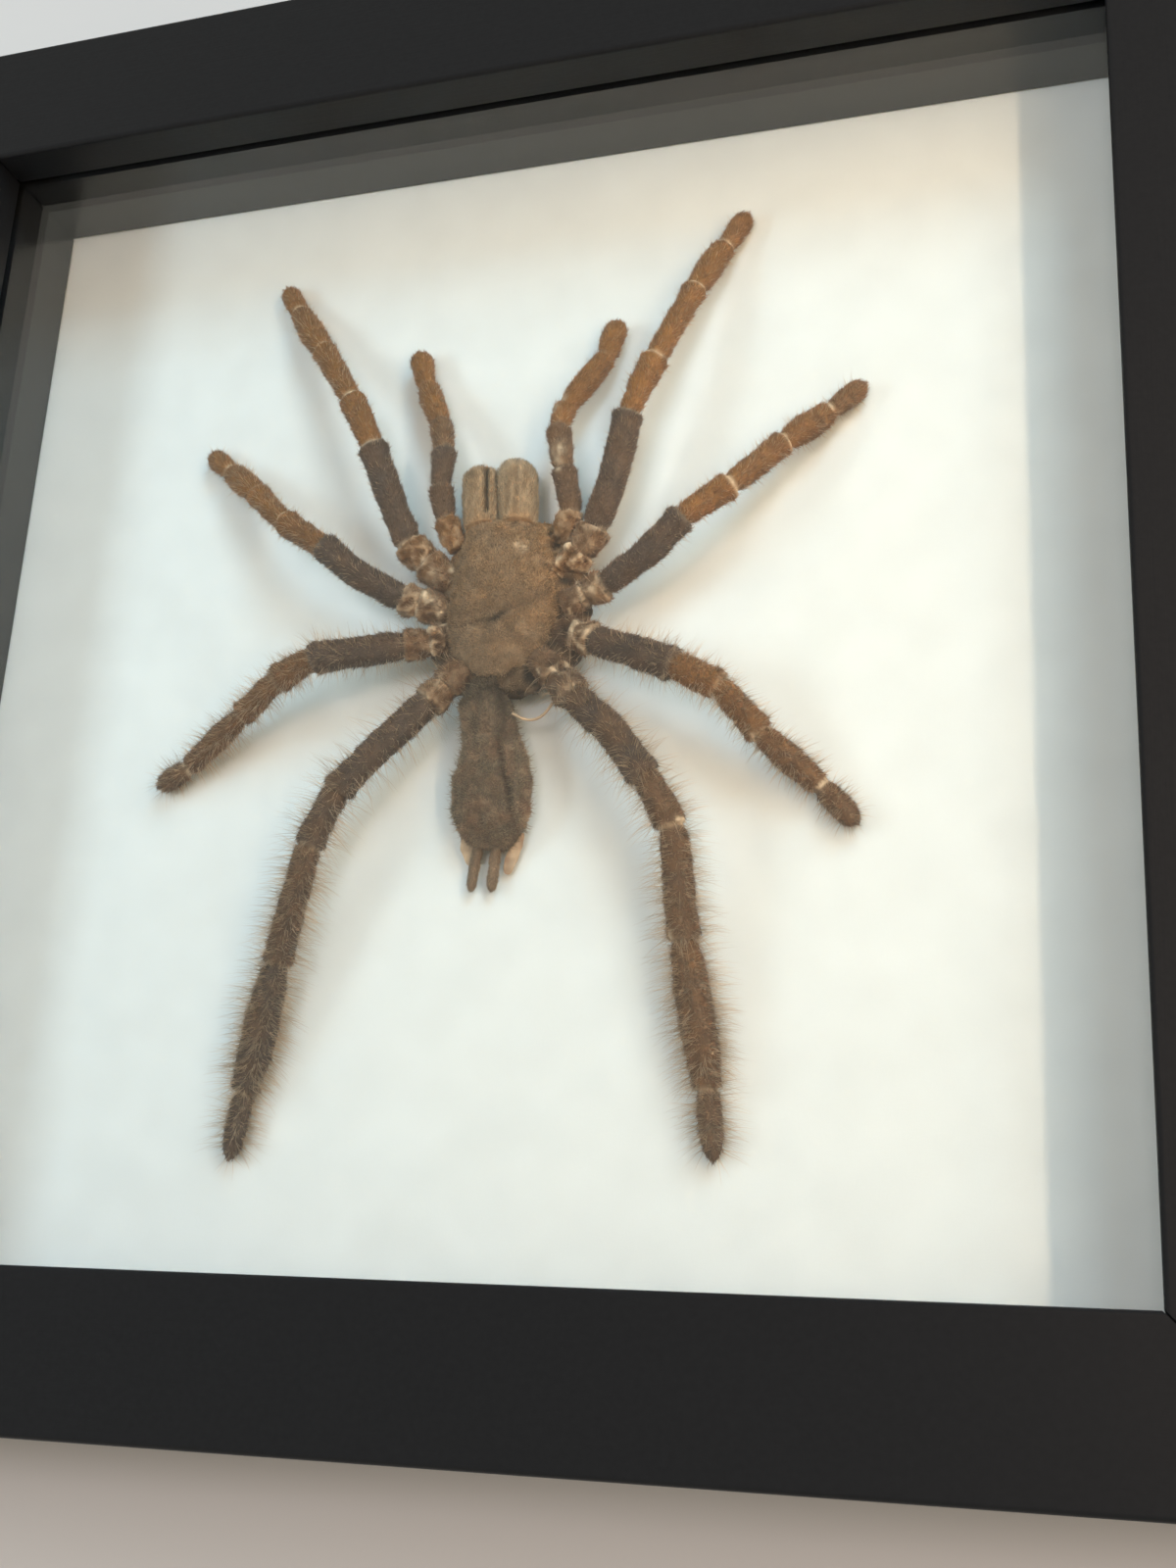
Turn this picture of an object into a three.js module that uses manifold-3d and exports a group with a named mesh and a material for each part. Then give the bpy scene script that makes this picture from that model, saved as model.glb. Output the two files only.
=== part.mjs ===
// A dried tarantula fixed to a white board inside a square black box frame with a glass front.
// Millimetres. The frame lies on its back: +Z points out through the glass, +Y points to the
// spider's head, and the origin is the middle of the back plane of the rails.
import * as THREE from "three";
import { mergeVertices } from "three/addons/utils/BufferGeometryUtils.js";
import Module from "manifold-3d";

const wasm = await Module();
wasm.setup();

// ---------- driving dimensions of the frame ----------
const opening = 200; // sight size between the lips, both ways
const railFace = 24; // width of a rail seen from the front
const frameDepth = 38;
const lipDepth = 7.7; // front face down to the glass seat
const rabbetWidth = 8; // how far the lip covers what lies behind it
const edgeRadius = 0.8; // eased edges of the rails
const glassThickness = 2;
const viewDepth = 27.6; // front face down to the white board
const boardThickness = 3;
const backThickness = 3;
const fitGap = 0.3; // clearance between touching pieces
const mitreGap = 0.2; // each rail's end stops this far short of the mitre plane, along the rail

// ---------- driving dimensions of the back's hardware ----------
const tabOffset = 58; // tabs sit this far either side of a rail's middle
const tabLength = 15;
const tabWidth = 6;
const tabThickness = 0.5;
const tabGrip = 5; // length of a tab that is pushed into the wood
const hangerLength = 44;
const hangerHeight = 9;
const hangerMetal = 0.8;
const hangerRise = 1.2; // the middle of the hanger stands off the panel by this much
const hangerPad = 8; // length of each flat end
const hangerStep = 2; // length of the slope between a flat end and the middle
const toothCount = 9;
const toothDepth = 1.8;
const hangerDrop = 22; // hanger's middle below the opening's top edge
const tackShank = 1.1; // radius
const tackHead = 2.4; // radius
const tackHeadHeight = 0.9;
const tackReach = 2.2; // how far the shank goes into the panel
const tackPoint = 0.6; // length of the shank's tapered end
const tackCrown = 0.7; // radius of the head's flat top, as a share of the head's radius
const tackSides = 20;

// ---------- heights of the layers above the back plane ----------
const half = opening / 2;
const outerHalf = half + railFace;
const rabbetHalf = half + rabbetWidth;
const layerHalf = rabbetHalf - fitGap; // glass, board and panel reach this far
const lipUnderside = frameDepth - lipDepth;
const glassTop = lipUnderside - fitGap;
const glassBottom = glassTop - glassThickness;
const boardTop = frameDepth - viewDepth;
const boardBottom = boardTop - boardThickness;
const panelTop = boardBottom - fitGap;
const panelBottom = panelTop - backThickness;
const tabTop = panelBottom - fitGap;

// ---------- the spider ----------
// Places on a leg, from the claw inwards, and their heights above the board: end of the tarsus,
// tarsus to metatarsus, metatarsus to tibia, tibia to patella, patella to femur (the knee, which
// is the highest), middle of the femur, femur to trochanter, trochanter to coxa, root of the coxa.
const legHeights = [1.9, 2.6, 6, 9.5, 10.5, 9.5, 7.5, 6.5, 6];
// The same places in plan, for each leg: x and y.
const legPlans = {
  leg_left_1: [
    [-49.5, 80], [-46.5, 74.5], [-38.5, 63], [-30, 50], [-24.5, 39.5],
    [-21, 30.5], [-17.5, 21.5], [-14, 18], [-9, 14],
  ],
  leg_left_2: [
    [-61.5, 46.5], [-57, 42.5], [-48.5, 35], [-40.5, 27], [-32, 21],
    [-25, 15.5], [-17.5, 11.5], [-14.5, 10.5], [-9, 9],
  ],
  leg_left_3: [
    [-63.5, -18], [-57.5, -15], [-46.5, -7], [-38.5, -2.5], [-32, 0.5],
    [-24, 1.5], [-16.5, 3], [-12, 3.5], [-8, 4.5],
  ],
  leg_left_4: [
    [-42, -81.5], [-40, -71], [-35, -50.5], [-29.5, -32], [-25, -23],
    [-18.5, -15.5], [-11.5, -7.5], [-9, -4.5], [-6, -0.5],
  ],
  leg_right_1: [
    [39, 82], [35.5, 76.5], [31, 65.5], [25.5, 51], [21.5, 40.5],
    [19.5, 30.5], [16.5, 21.5], [13.5, 18], [9.5, 14],
  ],
  leg_right_2: [
    [59.5, 46], [54.5, 42], [47, 34.5], [39, 26], [31.5, 20.5],
    [25.5, 15], [18, 11], [14.5, 10], [10.5, 9],
  ],
  leg_right_3: [
    [58.5, -29.5], [53, -23.5], [44, -15.5], [38, -8.5], [31, -5],
    [24.5, -2], [16.5, 1.5], [13.5, 3], [9.5, 4],
  ],
  leg_right_4: [
    [37.5, -80.5], [36.5, -70], [33, -48], [31.5, -31], [27, -23],
    [21, -15], [13.5, -8], [10.5, -4], [6.5, 0],
  ],
};
// Widths of tarsus, metatarsus, tibia, patella, both halves of the femur, trochanter and coxa.
const legWidths = {
  1: [4.1, 4.8, 4.5, 4.6, 4.9, 5, 4.8, 4.7],
  2: [4, 4.5, 4.2, 4.6, 4.7, 4.8, 4.6, 4.4],
  3: [3.9, 4, 4.3, 4.6, 5.1, 5.2, 4.7, 4.2],
  4: [4.2, 5.2, 4.8, 4.8, 5.3, 5.6, 5.2, 4.6],
};
// A pedipalp likewise: end of the tarsus, tarsus to tibia, tibia to patella, patella to femur,
// middle of the femur, femur to trochanter, root.
const palpHeights = [2.3, 3.5, 6, 8, 8.2, 7.5, 7];
const palpPlans = {
  pedipalp_left: [[-21, 62], [-18.5, 54.5], [-14, 45], [-12, 38.5], [-12, 31.5], [-11, 25.5], [-8.5, 20]],
  pedipalp_right: [[16.5, 63.5], [15, 56], [9, 45.5], [8.5, 40.5], [10, 32.5], [11.5, 24.5], [9, 19.5]],
};
const palpWidths = [4.1, 4.3, 3.8, 4, 4.1, 4.2];
const limbFlatness = 0.88; // height of a limb's section as a share of its width
const jointNarrowing = 0.86; // width at a joint as a share of the thinner segment's width
const rootNarrowing = 0.8; // and at the limb's root
// The tip segment's end: place along it and width, as shares of its length and width.
const roundedTip = [[0.03, 0.35], [0.2, 0.8]];
const limbSides = 10;
const bodySides = 20;

// Stations along the body: y, x of the middle, half width, underside and top above the board.
const cephalothoraxStations = [
  [24.4, -0.4, 5, 5.6, 8],
  [23.6, -0.5, 6.6, 4.4, 9.4],
  [21, 0, 7.6, 3.2, 10.4],
  [17, 0.6, 9, 2.4, 11.2],
  [13, 0.9, 10.2, 2, 11.7],
  [9, 0.9, 10.8, 1.8, 11.9],
  [5, 0.7, 10.5, 1.8, 11.6],
  [1.5, 0.2, 9, 2.2, 10.8],
  [-1.5, -0.3, 6.8, 3, 9.6],
  [-3.6, -0.7, 4, 4, 8],
];
const abdomenStations = [
  [-4.4, -1.6, 2.6, 3.6, 6.2],
  [-6.5, -1.8, 4.2, 2.4, 7.2],
  [-10, -1.6, 4.9, 1.6, 7.6],
  [-14, -1.2, 5.4, 1.2, 7.6],
  [-18, -1, 6.5, 1, 7.4],
  [-22, -0.8, 7.1, 0.9, 7],
  [-25.5, -0.8, 7, 0.9, 6.4],
  [-28.5, -1, 6.2, 1, 5.4],
  [-30.6, -0.6, 4, 1.4, 4.2],
];
// Each chelicera: tip and root in plan with heights above the board, and its greatest width.
const chelicerae = {
  chelicera_left: { tip: [-6.3, 35.6, 5], root: [-4.3, 23, 6.8], width: 6.3 },
  chelicera_right: { tip: [0.2, 36.1, 5], root: [2, 23, 6.8], width: 6.4 },
};
const cheliceraHeight = 8;
// The two long, finger-like spinnerets: end and root in plan with heights above the board.
const spinnerets = {
  spinneret_left: { tip: [-4, -38.2, 1.5], root: [-2.6, -30, 2.4] },
  spinneret_right: { tip: [-0.4, -38.4, 1.5], root: [0.2, -30, 2.4] },
};
const spinneretWidth = 2.2;
// A chelicera or spinneret from tip to root: place along it and size, as shares of the whole.
const rodProfile = [[0, 0.3], [0.05, 0.6], [0.15, 0.86], [0.4, 1], [0.75, 1], [1, 0.9]];

const specimen = new THREE.Group();

// ---------- helpers ----------

function closedMesh(positions, triangles) {
  const geometry = new THREE.BufferGeometry();
  geometry.setAttribute("position", new THREE.Float32BufferAttribute(positions, 3));
  geometry.setIndex(triangles);
  geometry.computeVertexNormals();
  return geometry;
}

// Rings of equally many points are joined in order, and a fan closes each end. Seen along the
// path, each ring turns anticlockwise.
function loft(rings) {
  const sides = rings[0].length;
  const positions = rings.flat().flatMap((point) => point.toArray());
  const triangles = [];
  for (let i = 0; i < rings.length - 1; i++) {
    for (let j = 0; j < sides; j++) {
      const a = i * sides + j;
      const b = i * sides + ((j + 1) % sides);
      triangles.push(a, a + sides, b, b, a + sides, b + sides);
    }
  }
  for (const end of [0, rings.length - 1]) {
    const centre = new THREE.Vector3();
    rings[end].forEach((point) => centre.addScaledVector(point, 1 / sides));
    const hub = positions.length / 3;
    positions.push(...centre.toArray());
    for (let j = 0; j < sides; j++) {
      const a = end * sides + j;
      const b = end * sides + ((j + 1) % sides);
      triangles.push(...(end === 0 ? [hub, a, b] : [hub, b, a]));
    }
  }
  return closedMesh(positions, triangles);
}

function toSolid(geometry) {
  const bare = geometry.clone();
  bare.deleteAttribute("normal");
  bare.deleteAttribute("uv");
  const merged = mergeVertices(bare, 1e-4);
  return new wasm.Manifold(new wasm.Mesh({
    numProp: 3,
    vertProperties: new Float32Array(merged.attributes.position.array),
    triVerts: new Uint32Array(merged.index.array),
  }));
}

function fromSolid(solid) {
  const mesh = solid.getMesh();
  return closedMesh(Array.from(mesh.vertProperties), Array.from(mesh.triVerts));
}

// What is left of a solid in one piece, once the others are cut away.
function cut(solid, others) {
  const left = others.reduce((rest, other) => rest.subtract(other), solid);
  return left.decompose().sort((a, b) => b.volume() - a.volume())[0];
}

function addPiece(name, geometry, finish) {
  const material = new THREE.MeshStandardMaterial(finish);
  const piece = new THREE.Mesh(geometry, material);
  piece.name = name;
  specimen.add(piece);
}

function block(xMin, xMax, yMin, yMax, zMin, zMax) {
  const box = new THREE.BoxGeometry(xMax - xMin, yMax - yMin, zMax - zMin);
  return box.translate((xMin + xMax) / 2, (yMin + yMax) / 2, (zMin + zMax) / 2);
}

// ---------- finishes ----------
const blackWood = { color: 0x26262a, roughness: 0.45, metalness: 0 };
const blackStrip = { color: 0x2a2a2c, roughness: 0.4, metalness: 0 };
const clearGlass = { color: 0xe8f0ee, roughness: 0.02, metalness: 0, transparent: true, opacity: 0.15 };
const whiteBoard = { color: 0xf3f1e9, roughness: 0.8, metalness: 0 };
const hardboard = { color: 0x8a6642, roughness: 0.7, metalness: 0 };
const zincSteel = { color: 0xb8bcc0, roughness: 0.35, metalness: 1 };
const brassSteel = { color: 0xc8a45c, roughness: 0.35, metalness: 1 };
const darkCuticle = { color: 0x4a382c, roughness: 0.75, metalness: 0 };
const brownCuticle = { color: 0x5f4733, roughness: 0.75, metalness: 0 };
const russetCuticle = { color: 0x6b4326, roughness: 0.75, metalness: 0 };

// ---------- the frame ----------

// A rail's section: how far in from the outer edge, and how high above the back plane. The
// corners that a hand meets are eased by quarter circles.
function railSection() {
  const section = new THREE.Shape();
  const seat = railFace - rabbetWidth;
  const r = edgeRadius;
  section.moveTo(r, 0);
  section.lineTo(seat, 0);
  section.lineTo(seat, lipUnderside);
  section.lineTo(railFace, lipUnderside);
  section.lineTo(railFace, frameDepth - r);
  section.absarc(railFace - r, frameDepth - r, r, 0, Math.PI / 2);
  section.lineTo(r, frameDepth);
  section.absarc(r, frameDepth - r, r, Math.PI / 2, Math.PI);
  section.lineTo(0, r);
  section.absarc(r, r, r, Math.PI, 1.5 * Math.PI);
  return section.extractPoints(4).shape.slice(0, -1);
}

// One rail along the bottom of the frame. Each point of its section runs from one 45 degree
// mitre to the other, so the ends stay flat.
function bottomRail() {
  const section = railSection();
  const ends = [-1, 1].map((side) => section.map(({ x: inward, y: height }) => {
    const reach = outerHalf - inward - mitreGap;
    return new THREE.Vector3(side * reach, inward - outerHalf, height);
  }));
  const count = section.length;
  const positions = ends.flat().flatMap((point) => point.toArray());
  const triangles = [];
  for (let i = 0; i < count; i++) {
    const next = (i + 1) % count;
    triangles.push(i, next, i + count, next, next + count, i + count);
  }
  for (const [a, b, c] of THREE.ShapeUtils.triangulateShape(section, [])) {
    triangles.push(c, b, a, a + count, b + count, c + count);
  }
  return closedMesh(positions, triangles);
}

// A flat steel tab with a pointed end in the wood and a round end over the panel, lying along Y.
function tabOutline(grow) {
  const halfWidth = tabWidth / 2 + grow;
  const inner = tabLength - tabGrip - halfWidth + grow;
  const outline = new THREE.Shape();
  outline.moveTo(0, -tabGrip - grow);
  outline.lineTo(halfWidth, -tabGrip + halfWidth - grow);
  outline.lineTo(halfWidth, inner);
  outline.absarc(0, inner, halfWidth, 0, Math.PI);
  outline.lineTo(-halfWidth, -tabGrip + halfWidth - grow);
  return outline;
}

function tab(grow) {
  const settings = { depth: tabThickness + 2 * grow, bevelEnabled: false, curveSegments: 6 };
  const plate = new THREE.ExtrudeGeometry(tabOutline(grow), settings);
  return plate.translate(0, -rabbetHalf, tabTop - tabThickness - grow);
}

function addRailsAndTabs() {
  const sides = ["bottom", "right", "top", "left"];
  sides.forEach((side, quarter) => {
    const turn = quarter * Math.PI / 2;
    const slots = [-tabOffset, tabOffset].map((x) => toSolid(tab(fitGap).translate(x, 0, 0)));
    const rail = fromSolid(cut(toSolid(bottomRail()), slots));
    addPiece(`rail_${side}`, rail.rotateZ(turn), blackWood);
    [-tabOffset, tabOffset].forEach((x, index) => {
      addPiece(`tab_${side}_${index + 1}`, tab(0).translate(x, 0, 0).rotateZ(turn), zincSteel);
    });
  });
}

// ---------- the glass and what stands behind it ----------

function layer(low, high) {
  return block(-layerHalf, layerHalf, -layerHalf, layerHalf, low, high);
}

function addLayers() {
  addPiece("glass_pane", layer(glassBottom, glassTop), clearGlass);
  addPiece("mount_board", layer(boardBottom, boardTop), whiteBoard);
}

// Four strips hold the glass off the board. The top and bottom ones run the whole width, and the
// side ones stand between them.
function addSpacers() {
  const low = boardTop + fitGap;
  const high = glassBottom - fitGap;
  addPiece("spacer_top", block(-layerHalf, layerHalf, half, layerHalf, low, high), blackStrip);
  addPiece("spacer_bottom", block(-layerHalf, layerHalf, -layerHalf, -half, low, high), blackStrip);
  const reach = half - fitGap;
  addPiece("spacer_left", block(-layerHalf, -half, -reach, reach, low, high), blackStrip);
  addPiece("spacer_right", block(half, layerHalf, -reach, reach, low, high), blackStrip);
}

// ---------- the back panel and its hanger ----------

const tackX = (hangerLength - hangerPad) / 2;
const hangerY = half - hangerDrop;
const padBottom = panelBottom - fitGap - hangerMetal;

// The lathe's axis is Y. Turned about X it points along Z, and the profile keeps its heights.
function tack(x, grow) {
  const headBottom = padBottom - fitGap - tackHeadHeight;
  const profile = [
    [0, headBottom],
    [tackHead * tackCrown, headBottom + tackHeadHeight / 6],
    [tackHead, headBottom + tackHeadHeight * 3 / 4],
    [tackHead, headBottom + tackHeadHeight],
    [tackShank + grow, headBottom + tackHeadHeight],
    [tackShank + grow, panelBottom + tackReach - tackPoint + grow],
    [0, panelBottom + tackReach + grow],
  ].map(([radius, height]) => new THREE.Vector2(radius, height));
  const lathe = new THREE.LatheGeometry(profile, tackSides);
  return lathe.rotateX(Math.PI / 2).translate(x, hangerY, 0);
}

// The hanger from the side: flat pads at its ends and a raised middle.
function hangerSide() {
  const end = hangerLength / 2;
  const pad = end - hangerPad;
  const middle = pad - hangerStep;
  const top = padBottom + hangerMetal;
  const rise = hangerRise;
  const line = [[-end, 0], [-pad, 0], [-middle, rise], [middle, rise], [pad, 0], [end, 0]];
  const near = line.map(([x, drop]) => new THREE.Vector2(x, top - drop));
  const far = line.map(([x, drop]) => new THREE.Vector2(x, top - drop - hangerMetal)).reverse();
  const shape = new THREE.Shape([...near, ...far]);
  const side = new THREE.ExtrudeGeometry(shape, { depth: 2 * hangerHeight, bevelEnabled: false });
  return side.rotateX(Math.PI / 2).translate(0, hangerY + hangerHeight, 0);
}

// The hanger from behind: a strip whose lower edge has a row of teeth between the pads.
function hangerOutline() {
  const end = hangerLength / 2;
  const low = -hangerHeight / 2;
  const pitch = (hangerLength - 2 * (hangerPad + hangerStep)) / toothCount;
  const start = -pitch * toothCount / 2;
  const outline = new THREE.Shape();
  outline.moveTo(-end, low);
  for (let i = 0; i < toothCount; i++) {
    outline.lineTo(start + i * pitch, low);
    outline.lineTo(start + (i + 0.5) * pitch, low + toothDepth);
  }
  outline.lineTo(start + toothCount * pitch, low);
  outline.lineTo(end, low);
  outline.lineTo(end, -low);
  outline.lineTo(-end, -low);
  const plate = new THREE.ExtrudeGeometry(outline, { depth: frameDepth, bevelEnabled: false });
  return plate.translate(0, hangerY, -frameDepth / 2);
}

function addBack() {
  const holes = [-tackX, tackX].map((x) => toSolid(tack(x, fitGap)));
  const panel = toSolid(layer(panelBottom, panelTop));
  addPiece("back_panel", fromSolid(cut(panel, holes)), hardboard);
  const hanger = toSolid(hangerSide()).intersect(toSolid(hangerOutline()));
  addPiece("sawtooth_hanger", fromSolid(cut(hanger, holes)), brassSteel);
  addPiece("hanger_tack_left", tack(-tackX, 0), brassSteel);
  addPiece("hanger_tack_right", tack(tackX, 0), brassSteel);
}

// ---------- the spider ----------

const up = new THREE.Vector3(0, 0, 1);

function place([x, y], height) {
  return new THREE.Vector3(x, y, boardTop + height);
}

// An oval ring across a path: half a width to each side, and flatter above and below.
function ovalRing(centre, along, width, height, grow) {
  const across = new THREE.Vector3().crossVectors(along, up).normalize();
  const above = new THREE.Vector3().crossVectors(across, along).normalize();
  return Array.from({ length: limbSides }, (_, i) => {
    const angle = i / limbSides * 2 * Math.PI;
    return centre.clone()
      .addScaledVector(across, Math.cos(angle) * (width / 2 + grow))
      .addScaledVector(above, Math.sin(angle) * (height / 2 + grow));
  });
}

// A jointed limb from its tip to its root. Each segment is full between its joints, narrows a
// little at them, and the last one ends in a round tip.
function limb(joints, widths, grow) {
  const rings = [];
  const addRing = (centre, along, width) => {
    rings.push(ovalRing(centre, along, width, width * limbFlatness, grow));
  };
  widths.forEach((width, i) => {
    const along = joints[i + 1].clone().sub(joints[i]).normalize();
    const at = (share) => joints[i].clone().lerp(joints[i + 1], share);
    if (i === 0) {
      roundedTip.forEach(([share, size]) => addRing(at(share), along, width * size));
    } else {
      const before = joints[i].clone().sub(joints[i - 1]).normalize();
      const bend = along.clone().add(before).normalize();
      addRing(joints[i], bend, Math.min(width, widths[i - 1]) * jointNarrowing);
      addRing(at(1 / 4), along, width);
    }
    addRing(at(3 / 4), along, width);
  });
  const last = joints.at(-1).clone().sub(joints.at(-2)).normalize();
  addRing(joints.at(-1), last, widths.at(-1) * rootNarrowing);
  return toSolid(loft(rings));
}

// A body section lofted along Y through its stations, with an oval across each.
function bodyForm(stations, grow) {
  const rings = stations.map(([y, x, halfWidth, low, high], index) => {
    const end = index === 0 ? grow : index === stations.length - 1 ? -grow : 0;
    return Array.from({ length: bodySides }, (_, i) => {
      const angle = i / bodySides * 2 * Math.PI;
      return new THREE.Vector3(
        x - Math.cos(angle) * (halfWidth + grow),
        y + end,
        boardTop + (low + high) / 2 + Math.sin(angle) * ((high - low) / 2 + grow),
      );
    });
  });
  return toSolid(loft(rings));
}

// A rounded rod, fullest in its middle, from its tip to its root.
function rod(tip, root, width, height, grow) {
  const start = place(tip, tip[2]);
  const finish = place(root, root[2]);
  const along = finish.clone().sub(start).normalize();
  return toSolid(loft(rodProfile.map(([share, size]) => (
    ovalRing(start.clone().lerp(finish, share), along, width * size, height * size, grow)
  ))));
}

// The limbs of each side are added from front to back. Each is cut clear of the carapace, of the
// abdomen and of the limb in front of it, as their roots lie side by side.
function addSpider() {
  const carapace = bodyForm(cephalothoraxStations, 0);
  const abdomen = bodyForm(abdomenStations, 0);
  addPiece("cephalothorax", fromSolid(carapace), brownCuticle);
  addPiece("abdomen", fromSolid(abdomen), darkCuticle);
  const clear = [bodyForm(cephalothoraxStations, fitGap), bodyForm(abdomenStations, fitGap)];

  const rods = [
    ...Object.entries(chelicerae).map(([name, { tip, root, width }]) => (
      { name, form: (grow) => rod(tip, root, width, cheliceraHeight, grow), finish: brownCuticle }
    )),
    ...Object.entries(spinnerets).map(([name, { tip, root }]) => (
      { name, form: (grow) => rod(tip, root, spinneretWidth, spinneretWidth, grow), finish: darkCuticle }
    )),
  ];
  const taken = [...clear];
  for (const { name, form, finish } of rods) {
    addPiece(name, fromSolid(cut(form(0), taken)), finish);
    taken.push(form(fitGap));
  }

  for (const side of ["left", "right"]) {
    const before = [...taken];
    const palpName = `pedipalp_${side}`;
    const palp = palpPlans[palpName].map((point, i) => place(point, palpHeights[i]));
    addPiece(palpName, fromSolid(cut(limb(palp, palpWidths, 0), before)), brownCuticle);
    before.push(limb(palp, palpWidths, fitGap));
    for (const pair of [1, 2, 3, 4]) {
      const name = `leg_${side}_${pair}`;
      const joints = legPlans[name].map((point, i) => place(point, legHeights[i]));
      const finish = pair === 4 ? darkCuticle : russetCuticle;
      addPiece(name, fromSolid(cut(limb(joints, legWidths[pair], 0), before)), finish);
      before.push(limb(joints, legWidths[pair], fitGap));
    }
  }
}

addRailsAndTabs();
addLayers();
addSpacers();
addBack();
addSpider();

export default specimen;
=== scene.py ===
# %% [markdown]
# # A dried tarantula in a glazed box frame
# The CAD model gives every piece its place and size. Here each piece gets its look: the frame
# keeps its CAD meshes and gets finishes made of shader nodes, and the spider is modelled again as
# fine skins with hairs on them. Everything is in the frame of the CAD model: +Z points out
# through the glass, +Y points to the spider's head. Shapes are worked out in millimetres with
# numpy and turned into metres at the moment they become meshes.

import bpy
import numpy as np
from mathutils import Matrix, Vector


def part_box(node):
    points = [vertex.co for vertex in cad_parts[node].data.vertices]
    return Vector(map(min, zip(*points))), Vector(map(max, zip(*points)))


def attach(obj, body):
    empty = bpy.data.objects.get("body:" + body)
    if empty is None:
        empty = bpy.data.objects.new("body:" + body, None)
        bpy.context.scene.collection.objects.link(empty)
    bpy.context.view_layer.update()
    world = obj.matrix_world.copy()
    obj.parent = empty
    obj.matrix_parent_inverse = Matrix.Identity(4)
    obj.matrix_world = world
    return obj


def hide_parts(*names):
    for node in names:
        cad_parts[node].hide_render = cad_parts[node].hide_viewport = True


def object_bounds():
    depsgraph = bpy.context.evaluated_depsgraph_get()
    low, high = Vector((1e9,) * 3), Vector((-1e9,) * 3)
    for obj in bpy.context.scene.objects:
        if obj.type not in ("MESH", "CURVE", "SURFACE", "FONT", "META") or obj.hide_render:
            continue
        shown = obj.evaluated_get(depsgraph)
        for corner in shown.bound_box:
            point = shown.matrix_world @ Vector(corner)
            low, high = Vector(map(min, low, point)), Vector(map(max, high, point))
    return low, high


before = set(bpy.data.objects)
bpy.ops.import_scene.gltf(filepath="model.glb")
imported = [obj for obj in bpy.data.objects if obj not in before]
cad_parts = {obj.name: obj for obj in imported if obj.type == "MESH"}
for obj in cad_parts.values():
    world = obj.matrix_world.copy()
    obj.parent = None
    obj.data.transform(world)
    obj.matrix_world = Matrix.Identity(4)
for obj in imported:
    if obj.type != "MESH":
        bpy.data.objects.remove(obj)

cad_low, cad_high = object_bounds()
scene = bpy.context.scene
mm = 0.001
print("CAD nodes:", len(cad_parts), "box:", tuple(cad_low), tuple(cad_high))

# %% [markdown]
# ## The camera
# A camera can be turned by three angles, but it is easier to think of where it stands, what it
# looks at and how far it is tilted about its line of sight. It stands low and to the right of the
# frame, which is why the square frame is seen as a slanted four-sided shape.

# %% Camera
camera_place = Vector((102.0, -109.6, 275.3)) * mm
camera_aim = Vector((14.2, -20.2, 10.4)) * mm
camera_tilt = np.radians(3.03)
focal_length = 41.49  # millimetres, on a film 36 mm along its longer side

camera_data = bpy.data.cameras.new("camera")
camera_data.lens = focal_length
camera = bpy.data.objects.new("camera", camera_data)
scene.collection.objects.link(camera)
ahead = (camera_aim - camera_place).normalized()
to_right = ahead.cross(Vector((0, 1, 0))).normalized()
level = Matrix((to_right, to_right.cross(ahead), -ahead)).transposed().to_4x4()
camera.matrix_world = Matrix.Translation(camera_place) @ level @ Matrix.Rotation(camera_tilt, 4, "Z")
camera_data.clip_start = 0.01
scene.camera = camera
print("camera to board:", round((camera_place - camera_aim).length / mm), "mm")

# %% [markdown]
# ## Colours and shader nodes
# Colours are written as sRGB hex values, as in a paint program, but shaders calculate in linear
# light, so one function converts them. A second function adds a node: its own settings come as
# keywords, and its inputs as a dictionary whose values are numbers, hex colours or the output
# socket of another node. An input is named by its label, or by its number where labels repeat.
# The Standard view shows a colour as it is written, where Blender's own choice would soften it.

# %% Helpers for finishes
scene.view_settings.view_transform = "Standard"


def linear(hex_colour):
    """The red, green, blue and alpha of an sRGB hex colour, in linear light."""
    levels = np.array([int(hex_colour[i:i + 2], 16) for i in (1, 3, 5)]) / 255
    bright = ((levels + 0.055) / 1.055) ** 2.4
    return (*np.where(levels > 0.04045, bright, levels / 12.92).tolist(), 1.0)


def add(tree, kind, inputs=None, **settings):
    """Adds one shader node with its settings, and sets or links its inputs."""
    made = tree.nodes.new("ShaderNode" + kind)
    for name, value in settings.items():
        setattr(made, name, value)
    for name, value in (inputs or {}).items():
        socket = made.inputs[name]
        if isinstance(value, bpy.types.NodeSocket):
            tree.links.new(value, socket)
        else:
            socket.default_value = linear(value) if isinstance(value, str) else value
    return made


def new_finish(name, **shader_values):
    """A material with that name, its node tree and its shader. A keyword names a shader input,
    with underscores for spaces."""
    material = bpy.data.materials.new(name)
    material.use_nodes = True
    tree = material.node_tree
    shader = tree.nodes["Principled BSDF"]
    for label, value in shader_values.items():
        socket = shader.inputs[label.replace("_", " ")]
        socket.default_value = linear(value) if isinstance(value, str) else value
    return material, tree, shader


def scale_of(size):
    """The Scale of a noise or cell pattern on Object coordinates whose marks are size mm apart."""
    return 1 / (size * mm)


mix_a, mix_b, mix_colour = 6, 7, 2  # a Mix node's colour inputs and its colour output, by number
print("a near-black in linear light:", linear("#26262A"))

# %% [markdown]
# ## Painted rails
# The rails are lengths of wood with a satin black lacquer. Lacquer on wood is smooth to the
# touch, but it follows the grain a little and dries with a faint skin like orange peel, and a
# few specks of dust lie on it. Grain is a noise pattern stretched along the rail, so the rails that
# run across and those that run up need a finish each. The bump stays low: the eye should find
# it only where light glances off the paint.

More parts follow.
